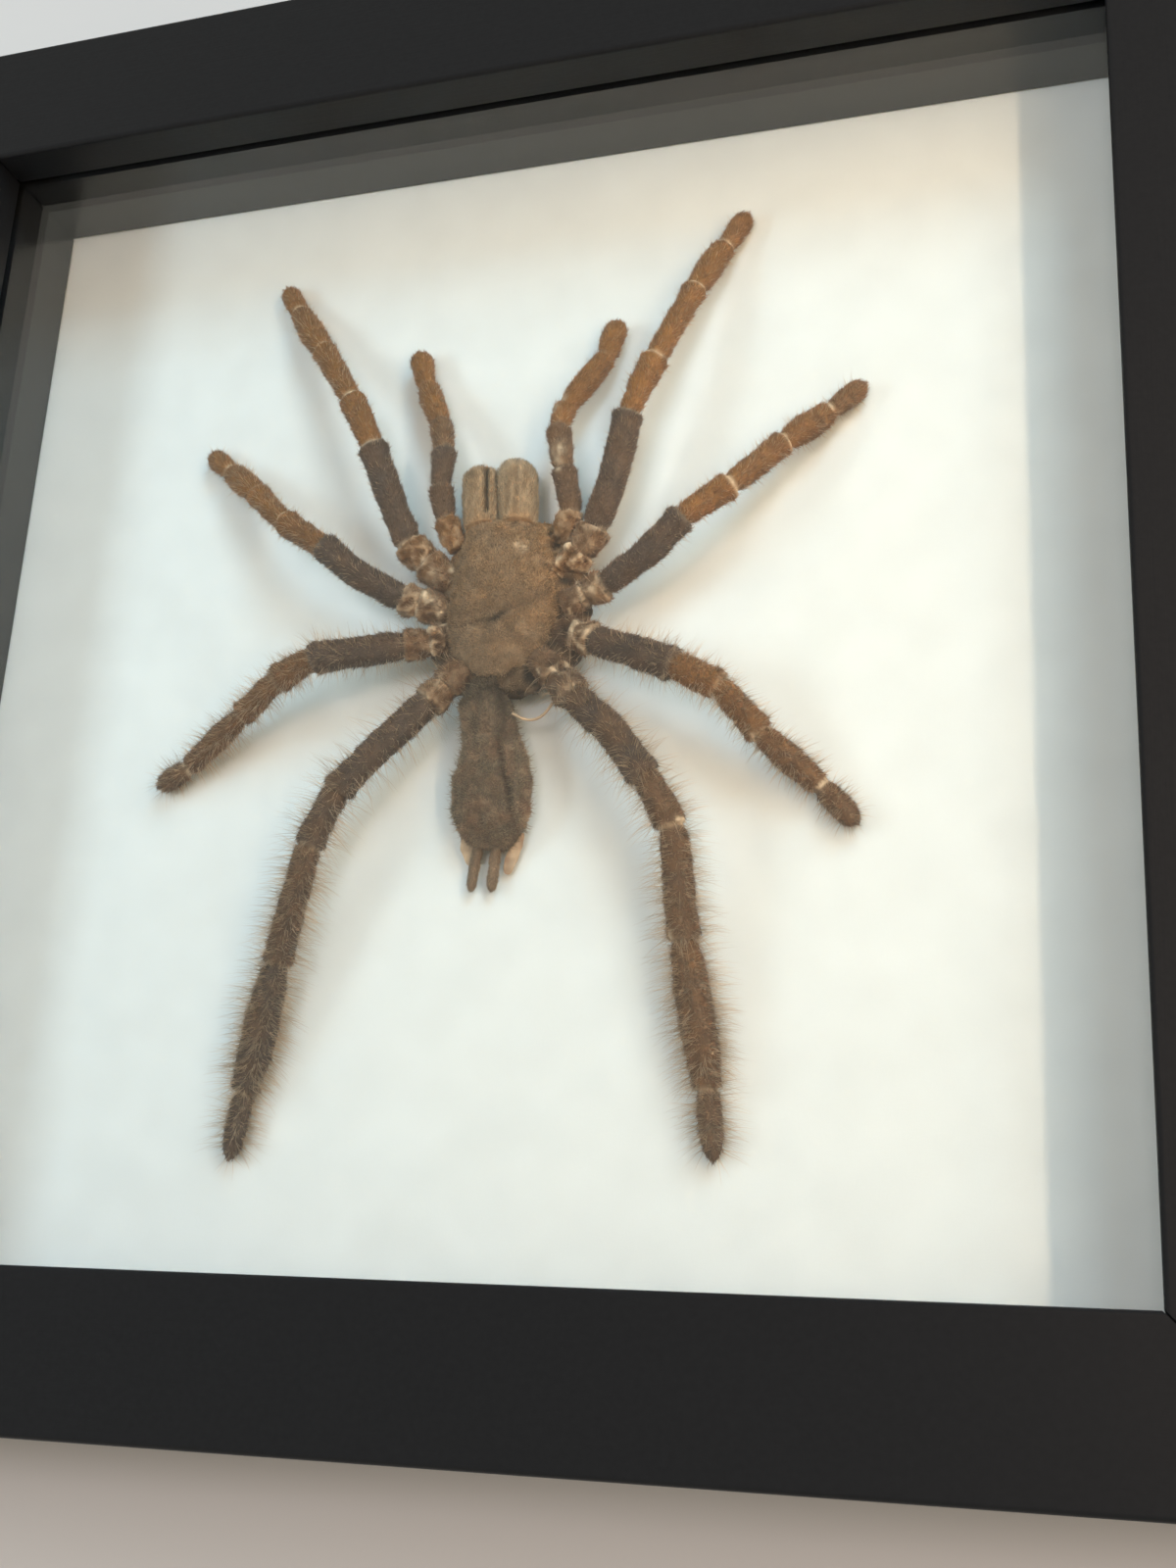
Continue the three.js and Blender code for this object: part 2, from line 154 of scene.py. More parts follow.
# %% Satin black lacquer
lacquer_colour, worn_colour, dust_colour = "#111215", "#232425", "#8E8F8C"
grain_length, grain_width = 14.0, 0.5  # mm
peel_size = 0.9  # mm between the bumps of the lacquer
speck_spacing, speck_size = 13.0, 0.16  # mm


def lacquer(name, stretch):
    """Satin lacquer on wood. stretch squeezes the grain pattern along X, Y and Z."""
    material, tree, shader = new_finish(name, Roughness=0.42, IOR=1.5, Specular_IOR_Level=0.3)
    place = add(tree, "TexCoord").outputs["Object"]
    squeezed = add(tree, "Mapping", {"Vector": place, "Scale": stretch}).outputs["Vector"]
    grain = add(tree, "TexNoise", {"Vector": squeezed, "Scale": scale_of(grain_width), "Detail": 4})
    peel = add(tree, "TexNoise", {"Vector": place, "Scale": scale_of(peel_size), "Detail": 2})
    low = add(tree, "Bump", {"Height": grain.outputs["Fac"], "Strength": 0.10, "Distance": 0.2 * mm})
    fine = add(tree, "Bump", {"Height": peel.outputs["Fac"], "Normal": low.outputs["Normal"],
                              "Strength": 0.16, "Distance": 0.1 * mm})
    tree.links.new(fine.outputs["Normal"], shader.inputs["Normal"])
    cells = add(tree, "TexVoronoi", {"Vector": place, "Scale": scale_of(speck_spacing)})
    speck = add(tree, "Math", {0: cells.outputs["Distance"], 1: speck_size / speck_spacing},
                operation="LESS_THAN")
    wear = add(tree, "MapRange", {"Value": peel.outputs["Fac"], "To Min": 0.0, "To Max": 0.35})
    worn = add(tree, "Mix", {0: wear.outputs["Result"], mix_a: lacquer_colour, mix_b: worn_colour},
               data_type="RGBA")
    dusty = add(tree, "Mix", {0: speck.outputs["Value"], mix_a: worn.outputs[mix_colour],
                              mix_b: dust_colour}, data_type="RGBA")
    tree.links.new(dusty.outputs[mix_colour], shader.inputs["Base Color"])
    return material


grain_squeeze = grain_width / grain_length
across_lacquer = lacquer("satin black lacquer, grain across", (grain_squeeze, 1, 1))
upright_lacquer = lacquer("satin black lacquer, grain upright", (1, grain_squeeze, 1))
for side in ("bottom", "top"):
    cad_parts[f"rail_{side}"].data.materials[0] = across_lacquer
for side in ("left", "right"):
    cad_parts[f"rail_{side}"].data.materials[0] = upright_lacquer
print("speck size:", speck_size, "mm, one in", speck_spacing, "mm")

# %% [markdown]
# ## Foil-covered spacers
# Between the glass and the board stand four strips of black board covered with a smooth foil.
# They are smoother than the rails, so at a flat angle they mirror the white board, which turns
# them dark grey. A low roughness gives that mirror image, slightly blurred.

# %% Black foil
spacer_foil, tree, shader = new_finish("black foil on board", Base_Color="#1F1F20", Roughness=0.24,
                                       IOR=1.5, Specular_IOR_Level=0.7)
place = add(tree, "TexCoord").outputs["Object"]
ripple = add(tree, "TexNoise", {"Vector": place, "Scale": scale_of(6.0), "Detail": 3})
bump = add(tree, "Bump", {"Height": ripple.outputs["Fac"], "Strength": 0.12, "Distance": 0.5 * mm})
tree.links.new(bump.outputs["Normal"], shader.inputs["Normal"])
for side in ("bottom", "top", "left", "right"):
    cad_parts[f"spacer_{side}"].data.materials[0] = spacer_foil
print("spacers finished:", 4)

# %% [markdown]
# ## The white board
# Mount board is paper on both faces of a pulp core. Paper is matt and never quite even: its
# fibres make soft clouds a few millimetres wide, and a fine tooth. The real tooth, about 0.1 mm, is
# too fine for a picture this size, so it is drawn at 0.35 mm.

# %% Mount board
cloud_size, tooth_size = 9.0, 0.35  # mm
white_board, tree, shader = new_finish("white mount board", Roughness=0.85, IOR=1.45,
                                       Specular_IOR_Level=0.3)
place = add(tree, "TexCoord").outputs["Object"]
clouds = add(tree, "TexNoise", {"Vector": place, "Scale": scale_of(cloud_size), "Detail": 5})
tooth = add(tree, "TexNoise", {"Vector": place, "Scale": scale_of(tooth_size), "Detail": 2})
even = add(tree, "MapRange", {"Value": clouds.outputs["Fac"], "From Min": 0.3, "From Max": 0.7})
paper = add(tree, "Mix", {0: even.outputs["Result"], mix_a: "#F0EFEB", mix_b: "#F6F5F1"},
            data_type="RGBA")
bump = add(tree, "Bump", {"Height": tooth.outputs["Fac"], "Strength": 0.25, "Distance": 0.06 * mm})
tree.links.new(paper.outputs[mix_colour], shader.inputs["Base Color"])
tree.links.new(bump.outputs["Normal"], shader.inputs["Normal"])
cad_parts["mount_board"].data.materials[0] = white_board
print("board:", cloud_size, "mm clouds,", tooth_size, "mm tooth")

# %% [markdown]
# ## The glass
# Float glass refracts what is behind it by very little, because the pane is thin and flat, but
# it reflects about a twenty-fifth of the light at each face. Light that reaches the board
# through glass would be very noisy to trace, so shadow rays pass through a plain transparent
# shader in place of the glass one.

# %% Float glass
clear_glass, tree, shader = new_finish("clear float glass", Base_Color="#F4FAF8", Roughness=0.0,
                                       IOR=1.5, Transmission_Weight=1.0)
ray = add(tree, "LightPath")
see_through = add(tree, "BsdfTransparent", {"Color": "#F7FAF9"})
either = add(tree, "MixShader", {0: ray.outputs["Is Shadow Ray"], 1: shader.outputs["BSDF"],
                                 2: see_through.outputs["BSDF"]})
tree.links.new(either.outputs["Shader"], tree.nodes["Material Output"].inputs["Surface"])
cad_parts["glass_pane"].data.materials[0] = clear_glass

# %% [markdown]
# ## The back: hardboard, steel and brass
# The panel is hardboard, made of steamed wood fibres pressed into a sheet, so it has short
# fibres of several browns lying in all directions. Two noise patterns stretched at right angles
# give such fibres. The tabs are zinc-plated steel, whose crystals make faint spangles, and
# the hanger is stamped brass with fine rolling lines along it.

# %% Hardboard
fibre_length, fibre_width = 5.0, 0.35  # mm
hardboard, tree, shader = new_finish("pressed hardboard", Roughness=0.72)
place = add(tree, "TexCoord").outputs["Object"]
squeeze = fibre_width / fibre_length
fibres = [
    add(tree, "TexNoise", {
        "Vector": add(tree, "Mapping", {"Vector": place, "Scale": stretch}).outputs["Vector"],
        "Scale": scale_of(fibre_width), "Detail": 3}).outputs["Fac"]
    for stretch in ((squeeze, 1, 1), (1, squeeze, 1))
]
tangle = add(tree, "Math", {0: fibres[0], 1: fibres[1]}, operation="MAXIMUM").outputs["Value"]
even = add(tree, "MapRange", {"Value": tangle, "From Min": 0.45, "From Max": 0.75})
browns = add(tree, "Mix", {0: even.outputs["Result"], mix_a: "#5E4029", mix_b: "#9C7650"},
             data_type="RGBA")
bump = add(tree, "Bump", {"Height": tangle, "Strength": 0.5, "Distance": 0.12 * mm})
tree.links.new(browns.outputs[mix_colour], shader.inputs["Base Color"])
tree.links.new(bump.outputs["Normal"], shader.inputs["Normal"])
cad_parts["back_panel"].data.materials[0] = hardboard
print("fibres:", fibre_length, "mm long")

# %% Zinc-plated steel and brass
spangle_size, rolling_line = 2.2, 0.12  # mm


def metal(name, light, dark, pattern, vector_scale, roughness):
    """A metal whose colour and polish vary with a noise or cell pattern."""
    material, tree, shader = new_finish(name, Metallic=1.0)
    place = add(tree, "TexCoord").outputs["Object"]
    stretched = add(tree, "Mapping", {"Vector": place, "Scale": vector_scale}).outputs["Vector"]
    marks = add(tree, pattern, {"Vector": stretched, "Scale": 1.0})
    amount = marks.outputs["Fac" if pattern == "TexNoise" else "Distance"]
    tone = add(tree, "Mix", {0: amount, mix_a: light, mix_b: dark}, data_type="RGBA")
    polish = add(tree, "MapRange", {"Value": amount, "To Min": roughness - 0.07,
                                    "To Max": roughness + 0.1})
    tree.links.new(tone.outputs[mix_colour], shader.inputs["Base Color"])
    tree.links.new(polish.outputs["Result"], shader.inputs["Roughness"])
    return material


spangle = (scale_of(spangle_size),) * 3
zinc_steel = metal("zinc-plated steel", "#C9CCD0", "#9FA4AA", "TexVoronoi", spangle, 0.34)
rolled = (scale_of(8.0), scale_of(rolling_line), scale_of(rolling_line))
stamped_brass = metal("stamped brass", "#D6B36A", "#A9803C", "TexNoise", rolled, 0.33)
for name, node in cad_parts.items():
    if name.startswith("tab_"):
        node.data.materials[0] = zinc_steel
    if "hanger" in name:
        node.data.materials[0] = stamped_brass
print("tabs and hanger finished")

# %% [markdown]
# ## From arrays to meshes
# The spider's skins and hairs are large arrays of points and faces. Blender can be given one
# point at a time, but `foreach_set` takes a whole array at once and is hundreds of times
# faster. Numbers per point, such as how pale the skin is there, go along as named attributes,
# and the finishes read them.

# %% Helpers for meshes


def unit(vectors):
    """The vectors, each scaled to length 1."""
    return vectors / np.linalg.norm(vectors, axis=-1, keepdims=True)


def make_piece(name, points, faces, finish, nodes=(), marks=None):
    """Makes a mesh object from points in mm and blocks of faces, each a row of 3 or 4 point
    numbers. It rides on the frame and stands for the CAD nodes named. marks are numbers per
    point, by name."""
    corners = np.concatenate([block.ravel() for block in faces]).astype(np.int32)
    sizes = np.concatenate([np.full(len(block), block.shape[1]) for block in faces])
    starts = (np.cumsum(sizes) - sizes).astype(np.int32)
    mesh = bpy.data.meshes.new(name)
    mesh.vertices.add(len(points))
    mesh.vertices.foreach_set("co", (points * mm).astype(np.float32).ravel())
    mesh.loops.add(len(corners))
    mesh.loops.foreach_set("vertex_index", corners)
    mesh.polygons.add(len(starts))
    mesh.polygons.foreach_set("loop_start", starts)
    mesh.update(calc_edges=True)
    mesh.shade_smooth()
    for mark, values in (marks or {}).items():
        layer = mesh.attributes.new(mark, "FLOAT", "POINT")
        layer.data.foreach_set("value", values.astype(np.float32).ravel())
    mesh.materials.append(finish)
    piece = bpy.data.objects.new(name, mesh)
    scene.collection.objects.link(piece)
    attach(piece, "root")
    if nodes:
        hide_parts(*nodes)
    print(f"{name}: {int((sizes - 2).sum())} triangles")


def skin_faces(rows, columns):
    """Faces of a skin whose columns close into rings: squares between neighbouring points, and
    at each end a fan of triangles to a pole. The poles are the two points after the grid."""
    here = np.arange(rows * columns).reshape(rows, columns)
    beside = np.roll(here, -1, axis=1)
    squares = np.stack([here[:-1], here[1:], beside[1:], beside[:-1]], axis=-1).reshape(-1, 4)
    poles = np.repeat([[rows * columns], [rows * columns + 1]], columns, axis=1)
    fans = np.concatenate([
        np.stack([poles[0], here[0], beside[0]], axis=-1),
        np.stack([poles[1], beside[-1], here[-1]], axis=-1),
    ])
    return [squares, fans]


def with_poles(grid):
    """The grid's points or marks as one list, followed by the mean of its first and last rows."""
    values = grid.reshape(-1, grid.shape[-1]) if grid.ndim == 3 else grid.reshape(-1)
    return np.concatenate([values, [grid[0].mean(axis=0)], [grid[-1].mean(axis=0)]])


def make_skin(name, grid, marks, finish, nodes=()):
    """A piece from a grid of points whose columns close into rings, with its marks."""
    marks = {mark: with_poles(values) for mark, values in marks.items()}
    make_piece(name, with_poles(grid), skin_faces(*grid.shape[:2]), finish, nodes, marks)


def outward(grid):
    """Unit normals of a skin: the direction along the rows crossed with the one round them."""
    along = np.gradient(grid, axis=0)
    around = np.roll(grid, -1, axis=1) - np.roll(grid, 1, axis=1)
    return unit(np.cross(along, around) + 1e-9)


print("squares in a skin of 3 rows and 4 columns:", len(skin_faces(3, 4)[0]))

# %% [markdown]
# ## Glue in the mitres
# The rails stop a hair's breadth short of each other, and on the real frame glue and paint fill
# that joint. Left open, it would let a line of light through each corner. The filling is a thin
# plate with the L-shaped section of a rail. It is set back a little from the surface, so that a
# fine line still shows where two rails meet, as it does on a glued mitre.

# %% Mitre filling
rail_face, rabbet_width = 24.0, 8.0  # mm: a rail's width from the front, and the lip's part of it
fit_gap = 0.3  # mm between the lip and the glass
filling_share = 0.98  # how much of the joint's width is filled
setback = 0.4  # mm from the rail's surface
corner_signs = np.array([(-1, -1), (1, -1), (1, 1), (-1, 1)])

rail_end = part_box("rail_bottom")[1].x / mm
outer_half, rail_depth = cad_high.x / mm, cad_high.z / mm
lip_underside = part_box("glass_pane")[1].z / mm + fit_gap
filling_half = filling_share * (outer_half - rail_end) / np.sqrt(2)  # half its thickness

# The L-shaped section, as distances in from the frame's outer edge and heights.
edge, seat, face = setback, rail_face - rabbet_width - setback, rail_face - setback
back, step_up, top = setback, lip_underside + setback, rail_depth - setback
outline = np.array([(edge, back), (seat, back), (seat, step_up), (face, step_up), (face, top),
                    (seat, top), (edge, top), (edge, step_up)])
inward, height = outline.T
# At each corner of the frame the section lies along the diagonal, once on each side of it.
across = np.array([-1, 1])[:, None] * filling_half / np.sqrt(2)
plan = (corner_signs[:, None, None] * (outer_half - inward)[:, None]
        + corner_signs[:, None, None, ::-1] * (-1, 1) * across[..., None])
points = np.concatenate([plan, np.broadcast_to(height[:, None], (4, 2, 8, 1))], axis=-1)
# Walls join the two sides, and three squares cover each.
ring = np.arange(8)
walls = np.stack([ring, (ring + 1) % 8, (ring + 1) % 8 + 8, ring + 8], axis=-1)
cap = np.array([(0, 1, 2, 7), (7, 2, 5, 6), (2, 3, 4, 5)])
plate = np.concatenate([walls, cap + 8, cap[:, ::-1]])
faces = (plate + np.arange(4)[:, None, None] * 16).reshape(-1, 4)
make_piece("mitre_filling", points.reshape(-1, 3), [faces], across_lacquer)

# %% [markdown]
# ## Natural unevenness
# Dried skin is uneven at every scale. Value noise is the simplest way to get that in an array:
# space is divided into cubes, each corner of each cube gets a random number, and a point takes
# a smooth mix of the eight numbers around it.

# %% Noise in space
noise_table = np.random.default_rng(11).random(8192) * 2 - 1
corner_keys = np.array([73856093, 19349663, 83492791])


def noise(points, size, seed=0):
    """Smooth random numbers from -1 to 1. size is the cubes' edge in mm."""
    scaled = points / size + seed * 17.31
    corner = np.floor(scaled).astype(np.int64)
    share = scaled - corner
    share = share * share * (3 - 2 * share)
    total = np.zeros(points.shape[:-1])
    for step in np.ndindex(2, 2, 2):
        weight = np.where(step, share, 1 - share).prod(axis=-1)
        total += weight * noise_table[((corner + step) @ corner_keys) % len(noise_table)]
    return total


def bump_at(distance, width):
    """A smooth hump: 1 at distance 0, and about a third of that one width away."""
    return np.exp(-(distance / width) ** 2)


print("noise:", noise(np.array([[1.0, 2.0, 3.0]]), 0.7))

# %% [markdown]
# ## Hairs
# A tarantula is covered with hairs of two kinds: a dense fuzz under a millimetre long, and
# scattered bristles several millimetres long. Hair curves would be the usual tool, but here
# each hair has to be a real, closed surface. So a hair is a three-sided spike: rings of three
# points that shrink to a tip. Fuzz has one ring, and a bristle two, so that it can bend. Hairs
# stick together in small tufts, so neighbours share most of their tone. A real hair is about
# 0.03 mm thick, too fine for a picture this size, so hairs are drawn three to five times as thick
# and fewer.

# %% Hairs as closed spikes
board_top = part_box("mount_board")[1].z / mm
hair_floor = board_top + 0.1
hair_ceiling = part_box("glass_pane")[0].z / mm - 0.1
tuft_size = 0.9  # mm between tufts of hairs that share a tone
root_depth = 0.08  # mm that a hair's root is sunk into the skin
fuzz_thickness = 0.14  # mm


def spikes(roots, directions, bends, lengths, thickness, rings):
    """Points and faces of many hairs, and the share of its length at which each point lies. A
    hair's middle line at share t is its root + length * (t * direction + t * t * bend), and its
    three edges lie around that line at half the thickness times (1 - t). Where the line would
    pass through the board or the glass it runs along it."""
    count = len(roots)
    side = unit(np.cross(directions, [0.31, 0.52, 0.79]))
    other = unit(np.cross(directions, side))
    angles = np.arange(3) * 2 * np.pi / 3
    edges = np.cos(angles)[:, None] * side[:, None] + np.sin(angles)[:, None] * other[:, None]
    levels = []
    for ring in range(rings):
        t = ring / rings
        middle = roots + lengths[:, None] * (t * directions + t * t * bends)
        middle[:, 2] = np.clip(middle[:, 2], hair_floor, hair_ceiling)
        levels.append(middle[:, None] + edges * (thickness * (1 - t) / 2))
    tips = roots + lengths[:, None] * (directions + bends)
    tips[:, 2] = np.clip(tips[:, 2], hair_floor, hair_ceiling)
    points = np.concatenate([*levels, tips[:, None]], axis=1)
    per_hair = 3 * rings + 1
    first = np.arange(count)[:, None, None] * per_hair
    a = np.arange(3)
    b = (a + 1) % 3
    walls = [np.stack([a, b, b + 3, a + 3], axis=-1) + 3 * ring for ring in range(rings - 1)]
    top = 3 * (rings - 1)
    cap = np.stack([a + top, b + top, np.full(3, per_hair - 1)], axis=-1)
    ends = np.concatenate([cap, [[0, 2, 1]]])
    faces = [(first + ends).reshape(-1, 3)]
    if walls:
        faces.append((first + np.concatenate(walls)).reshape(-1, 4))
    share = np.append(np.repeat(np.arange(rings) / rings, 3), 1.0)
    return points.reshape(-1, 3), faces, np.tile(share, count)


def scatter(grid, count, weight, chance):
    """Random rows and columns, with fractions, on a skin. A square of the grid is drawn in
    proportion to its area times the weight there."""
    along = grid[1:] - grid[:-1]
    around = np.roll(grid, -1, axis=1) - grid
    area = np.linalg.norm(np.cross(along, around[:-1]), axis=-1)
    share = (area * weight[:-1]).ravel()
    cell = chance.choice(len(share), count, p=share / share.sum())
    row, column = np.divmod(cell, grid.shape[1])
    return row + chance.random(count), column + chance.random(count)


def at(values, row, column):
    """The values of a grid at fractional rows and columns, mixed from the four around."""
    low_row = np.minimum(row.astype(int), len(values) - 2)
    low_column = column.astype(int) % values.shape[1]
    next_column = (low_column + 1) % values.shape[1]
    down, across = row - low_row, column - np.floor(column)
    if values.ndim == 3:
        down, across = down[:, None], across[:, None]
    near = values[low_row, low_column] * (1 - across) + values[low_row, next_column] * across
    low_row = low_row + 1
    far = values[low_row, low_column] * (1 - across) + values[low_row, next_column] * across
    return near * (1 - down) + far * down


def grow(grid, marks, chance, count, length, thickness, *, lean, spread, droop, rings=1,
         weight=None):
    """Hairs on a skin. A hair's direction is the normal, plus lean times the direction along
    the rows, plus spread times a random direction. It droops by turning toward the row
    direction as it bends, by the share droop. length is the shortest and longest in mm, and
    short ones are more common. weight says how densely hairs stand, point by point. Returns
    points, faces and marks."""
    weight = np.ones(grid.shape[:2]) if weight is None else weight
    row, column = scatter(grid, count, weight, chance)
    normal = at(outward(grid), row, column)
    along = unit(at(np.gradient(grid, axis=0), row, column) + 1e-9)
    random = chance.normal(size=(count, 3))
    direction = unit(normal + lean * along + spread * random)
    bend = droop * (along - direction)
    lengths = length[0] + (length[1] - length[0]) * chance.random(count) ** 1.5
    root = at(grid, row, column) - normal * root_depth
    points, faces, share = spikes(root, direction, bend, lengths, thickness, rings)
    per_hair = 3 * rings + 1
    found = {name: np.repeat(at(mark, row, column), per_hair) for name, mark in marks.items()}
    found["along"] = share
    tone = 0.5 + 0.5 * noise(root, tuft_size, 21) + 0.4 * (chance.random(count) - 0.5)
    found["tone"] = np.repeat(np.clip(tone, 0, 1), per_hair)
    return points, faces, found


def make_hairs(skin_name, parts, finish):
    """One piece from several sets of hairs on the same skin."""
    offset, faces = 0, []
    for points, blocks, _ in parts:
        faces += [block + offset for block in blocks]
        offset += len(points)
    names = parts[0][2].keys()
    marks = {name: np.concatenate([part[2][name] for part in parts]) for name in names}
    points = np.concatenate([part[0] for part in parts])
    make_piece(f"{skin_name}_hairs", points, faces, finish, marks=marks)


# %% [markdown]
# ## Finishes of the spider
# Spider skin is chitin, a horny layer with a soft sheen, under hairs of the same stuff. Its
# colour changes along a limb, so a skin mixes its colours by three marks: `warm` turns the first
# colour to the second, `pale` shows the soft skin at the joints and bare skin, and also paints
# highlights on the chelicerae and carapace, and `dark` shows dark patches and painted shade in
# hollows, creases, folds and the waist.
# Hairs read the marks of the skin they grow on, are darker at the root and differ a little from
# one to the next.

# %% Skin and hair finishes
mottle_size, pore_size = 1.6, 0.22  # mm
pale_skin = "#E2C5A4"
# Mixed in by the dark mark: dark patches of the skin, and painted shade in hollows, creases, folds
# and the waist.
dark_and_shade_brown = "#2A1C14"


def chitin(name, first, second):
    """Dried spider skin between two colours, with pale joints, dark patches and painted shade in its
    hollows.
    """
    material, tree, shader = new_finish(name, Roughness=0.55, IOR=1.55, Specular_IOR_Level=0.35)
    place = add(tree, "TexCoord").outputs["Object"]
    mottle = add(tree, "TexNoise", {"Vector": place, "Scale": scale_of(mottle_size), "Detail": 4})
    pores = add(tree, "TexNoise", {"Vector": place, "Scale": scale_of(pore_size), "Detail": 2})
    marks = {mark: add(tree, "Attribute", attribute_name=mark).outputs["Fac"]
             for mark in ("warm", "pale", "dark")}
    colour = add(tree, "Mix", {0: marks["warm"], mix_a: first, mix_b: second}, data_type="RGBA")
    shade = add(tree, "MapRange", {"Value": mottle.outputs["Fac"], "From Min": 0.3,
                                   "From Max": 0.7, "To Min": 0.72, "To Max": 1.2})
    colour = add(tree, "Mix", {0: 1.0, mix_a: colour.outputs[mix_colour],
                               mix_b: shade.outputs["Result"]}, data_type="RGBA",
                 blend_type="MULTIPLY")
    colour = add(tree, "Mix", {0: marks["pale"], mix_a: colour.outputs[mix_colour],
                               mix_b: pale_skin}, data_type="RGBA")
    colour = add(tree, "Mix", {0: marks["dark"], mix_a: colour.outputs[mix_colour],
                               mix_b: dark_and_shade_brown}, data_type="RGBA")
    bump = add(tree, "Bump", {"Height": pores.outputs["Fac"], "Strength": 0.5,
                              "Distance": 0.06 * mm})
    tree.links.new(colour.outputs[mix_colour], shader.inputs["Base Color"])
    tree.links.new(bump.outputs["Normal"], shader.inputs["Normal"])
    return material


def hair(name, first, second, tip):
    """Hairs between two colours, darker at the root and turning to the tip colour."""
    material, tree, shader = new_finish(name, Roughness=0.5, IOR=1.55, Specular_IOR_Level=0.3)
    marks = {mark: add(tree, "Attribute", attribute_name=mark).outputs["Fac"]
             for mark in ("warm", "pale", "dark", "along", "tone")}
    colour = add(tree, "Mix", {0: marks["warm"], mix_a: first, mix_b: second}, data_type="RGBA")
    colour = add(tree, "Mix", {0: marks["pale"], mix_a: colour.outputs[mix_colour],
                               mix_b: pale_skin}, data_type="RGBA")
    ends = add(tree, "MapRange", {"Value": marks["along"], "To Min": 0.0, "To Max": 0.3})
    colour = add(tree, "Mix", {0: ends.outputs["Result"], mix_a: colour.outputs[mix_colour],
                               mix_b: tip}, data_type="RGBA")
    colour = add(tree, "Mix", {0: marks["dark"], mix_a: colour.outputs[mix_colour],
                               mix_b: dark_and_shade_brown}, data_type="RGBA")
    shade = add(tree, "MapRange", {"Value": marks["tone"], "To Min": 0.66, "To Max": 1.34})
    colour = add(tree, "Mix", {0: 1.0, mix_a: colour.outputs[mix_colour],
                               mix_b: shade.outputs["Result"]}, data_type="RGBA",
                 blend_type="MULTIPLY")
    tree.links.new(colour.outputs[mix_colour], shader.inputs["Base Color"])
    return material


leg_skin = chitin("dried leg chitin", "#54443A", "#90602F")
leg_hair = hair("leg hairs", "#6B5850", "#AA7247", "#B08F70")
body_skin = chitin("dried carapace chitin", "#6A533D", "#906A46")
body_hair = hair("carapace hairs", "#A8896C", "#C49668", "#CCA883")
fang_base_skin = chitin("dried chelicera chitin", "#8A6646", "#B08A64")
fang_base_hair = hair("chelicera hairs", "#B08A66", "#DCB48C", "#E6C8A4")
belly_skin = chitin("shrivelled abdomen skin", "#5A4B3C", "#96684C")
belly_hair = hair("abdomen hairs", "#9A8870", "#B48C70", "#C2A88C")
print("finishes:", len(bpy.data.materials))

# %% [markdown]
# ## The shape of a limb
# A leg has seven segments, and a pedipalp six. Between two segments the hard skin gives way to a
# narrow ring of soft skin, which dries pale. A limb is one tube round a bent middle line:
# its width swells over each segment, most near the far end, and drops sharply at each joint. The
# same distances to the joints give the marks for the soft rings.

# %% Places of the legs
# From the claw inwards, in mm above the board: end of the tarsus, tarsus to metatarsus,
# metatarsus to tibia, tibia to patella, patella to femur, middle of the femur, femur to
# trochanter, trochanter to coxa, root of the coxa.
leg_heights = [1.9, 2.6, 6, 9.5, 10.5, 9.5, 7.5, 6.5, 6]
# The same places in plan, for each leg.
leg_plans = {
    "leg_left_1": [(-49.3, 79.7), (-46, 73.8), (-38.5, 63), (-30, 50), (-24.5, 39.5),
                   (-21, 30.5), (-17.5, 21.5), (-14, 18), (-9, 14)],
    "leg_left_2": [(-61.2, 46.3), (-56.3, 41.9), (-48.5, 35), (-40.5, 27), (-32, 21),
                   (-25, 15.5), (-17.5, 11.5), (-14.5, 10.5), (-9, 9)],
    "leg_left_3": [(-63.5, -18), (-57.5, -15), (-46.5, -7), (-38.5, -2.5), (-32, 0.5),
                   (-24, 1.5), (-16.5, 3), (-12, 3.5), (-8, 4.5)],
    "leg_left_4": [(-42, -81.5), (-40, -71), (-35, -50.5), (-29.5, -32), (-25, -23),
                   (-18.5, -15.5), (-11.5, -7.5), (-9, -4.5), (-6, -0.5)],
    "leg_right_1": [(39, 82), (35.1, 75.6), (31, 65.5), (25.5, 51), (21.5, 40.5),
                    (19.5, 30.5), (15.9, 21.5), (13.1, 17.6), (9.5, 14)],
    "leg_right_2": [(59.5, 46), (53.8, 41.3), (47, 34.5), (39, 26), (31.5, 20.5),
                    (25.5, 15), (18, 11), (14.5, 10), (10.5, 9)],
    "leg_right_3": [(58.5, -29.5), (53, -23.5), (44, -15.5), (38, -8.5), (31, -5),
                    (24.5, -2), (16.5, 1.5), (13.5, 3), (9.5, 4)],
    "leg_right_4": [(37.5, -80.5), (36.5, -70), (33, -48), (31.5, -31), (27, -23),
                    (21, -15), (13.5, -8), (10.5, -4), (6.5, 0)],
}
# Widths of tarsus, metatarsus, tibia, patella, outer and inner femur, trochanter and coxa.
leg_widths = {
    1: [3.55, 4.3, 4.0, 4.2, 4.6, 4.9, 5.3, 5.4],
    2: [3.55, 4.2, 3.9, 4.2, 4.5, 4.7, 5.1, 5.2],
    3: [3.6, 4.0, 4.0, 4.4, 4.9, 5.0, 5.2, 5.2],
    4: [3.5, 5.2, 4.6, 4.5, 4.9, 5.2, 5.6, 5.4],
}
palp_heights = [2.3, 3.5, 6, 8, 8.2, 7.5, 7]
palp_plans = {
    "pedipalp_left": [(-21, 62), (-18.5, 54.5), (-14, 45), (-12, 38.5), (-12, 31.5), (-11, 25.5),
                      (-8.5, 20)],
    "pedipalp_right": [(16.5, 63.5), (15, 56), (9, 45.5), (8.5, 40.5), (10, 32.5), (11.5, 24.5),
                       (9, 19.5)],
}
palp_widths = [3.9, 4.0, 3.6, 3.8, 3.9, 4.0]
leg_tips = {1: 2.8, 2: 2.8, 3: 3.4, 4: 4.6}  # mm over which the tarsus closes
palp_tip = 2.8
print("board top:", round(board_top, 2), "mm")
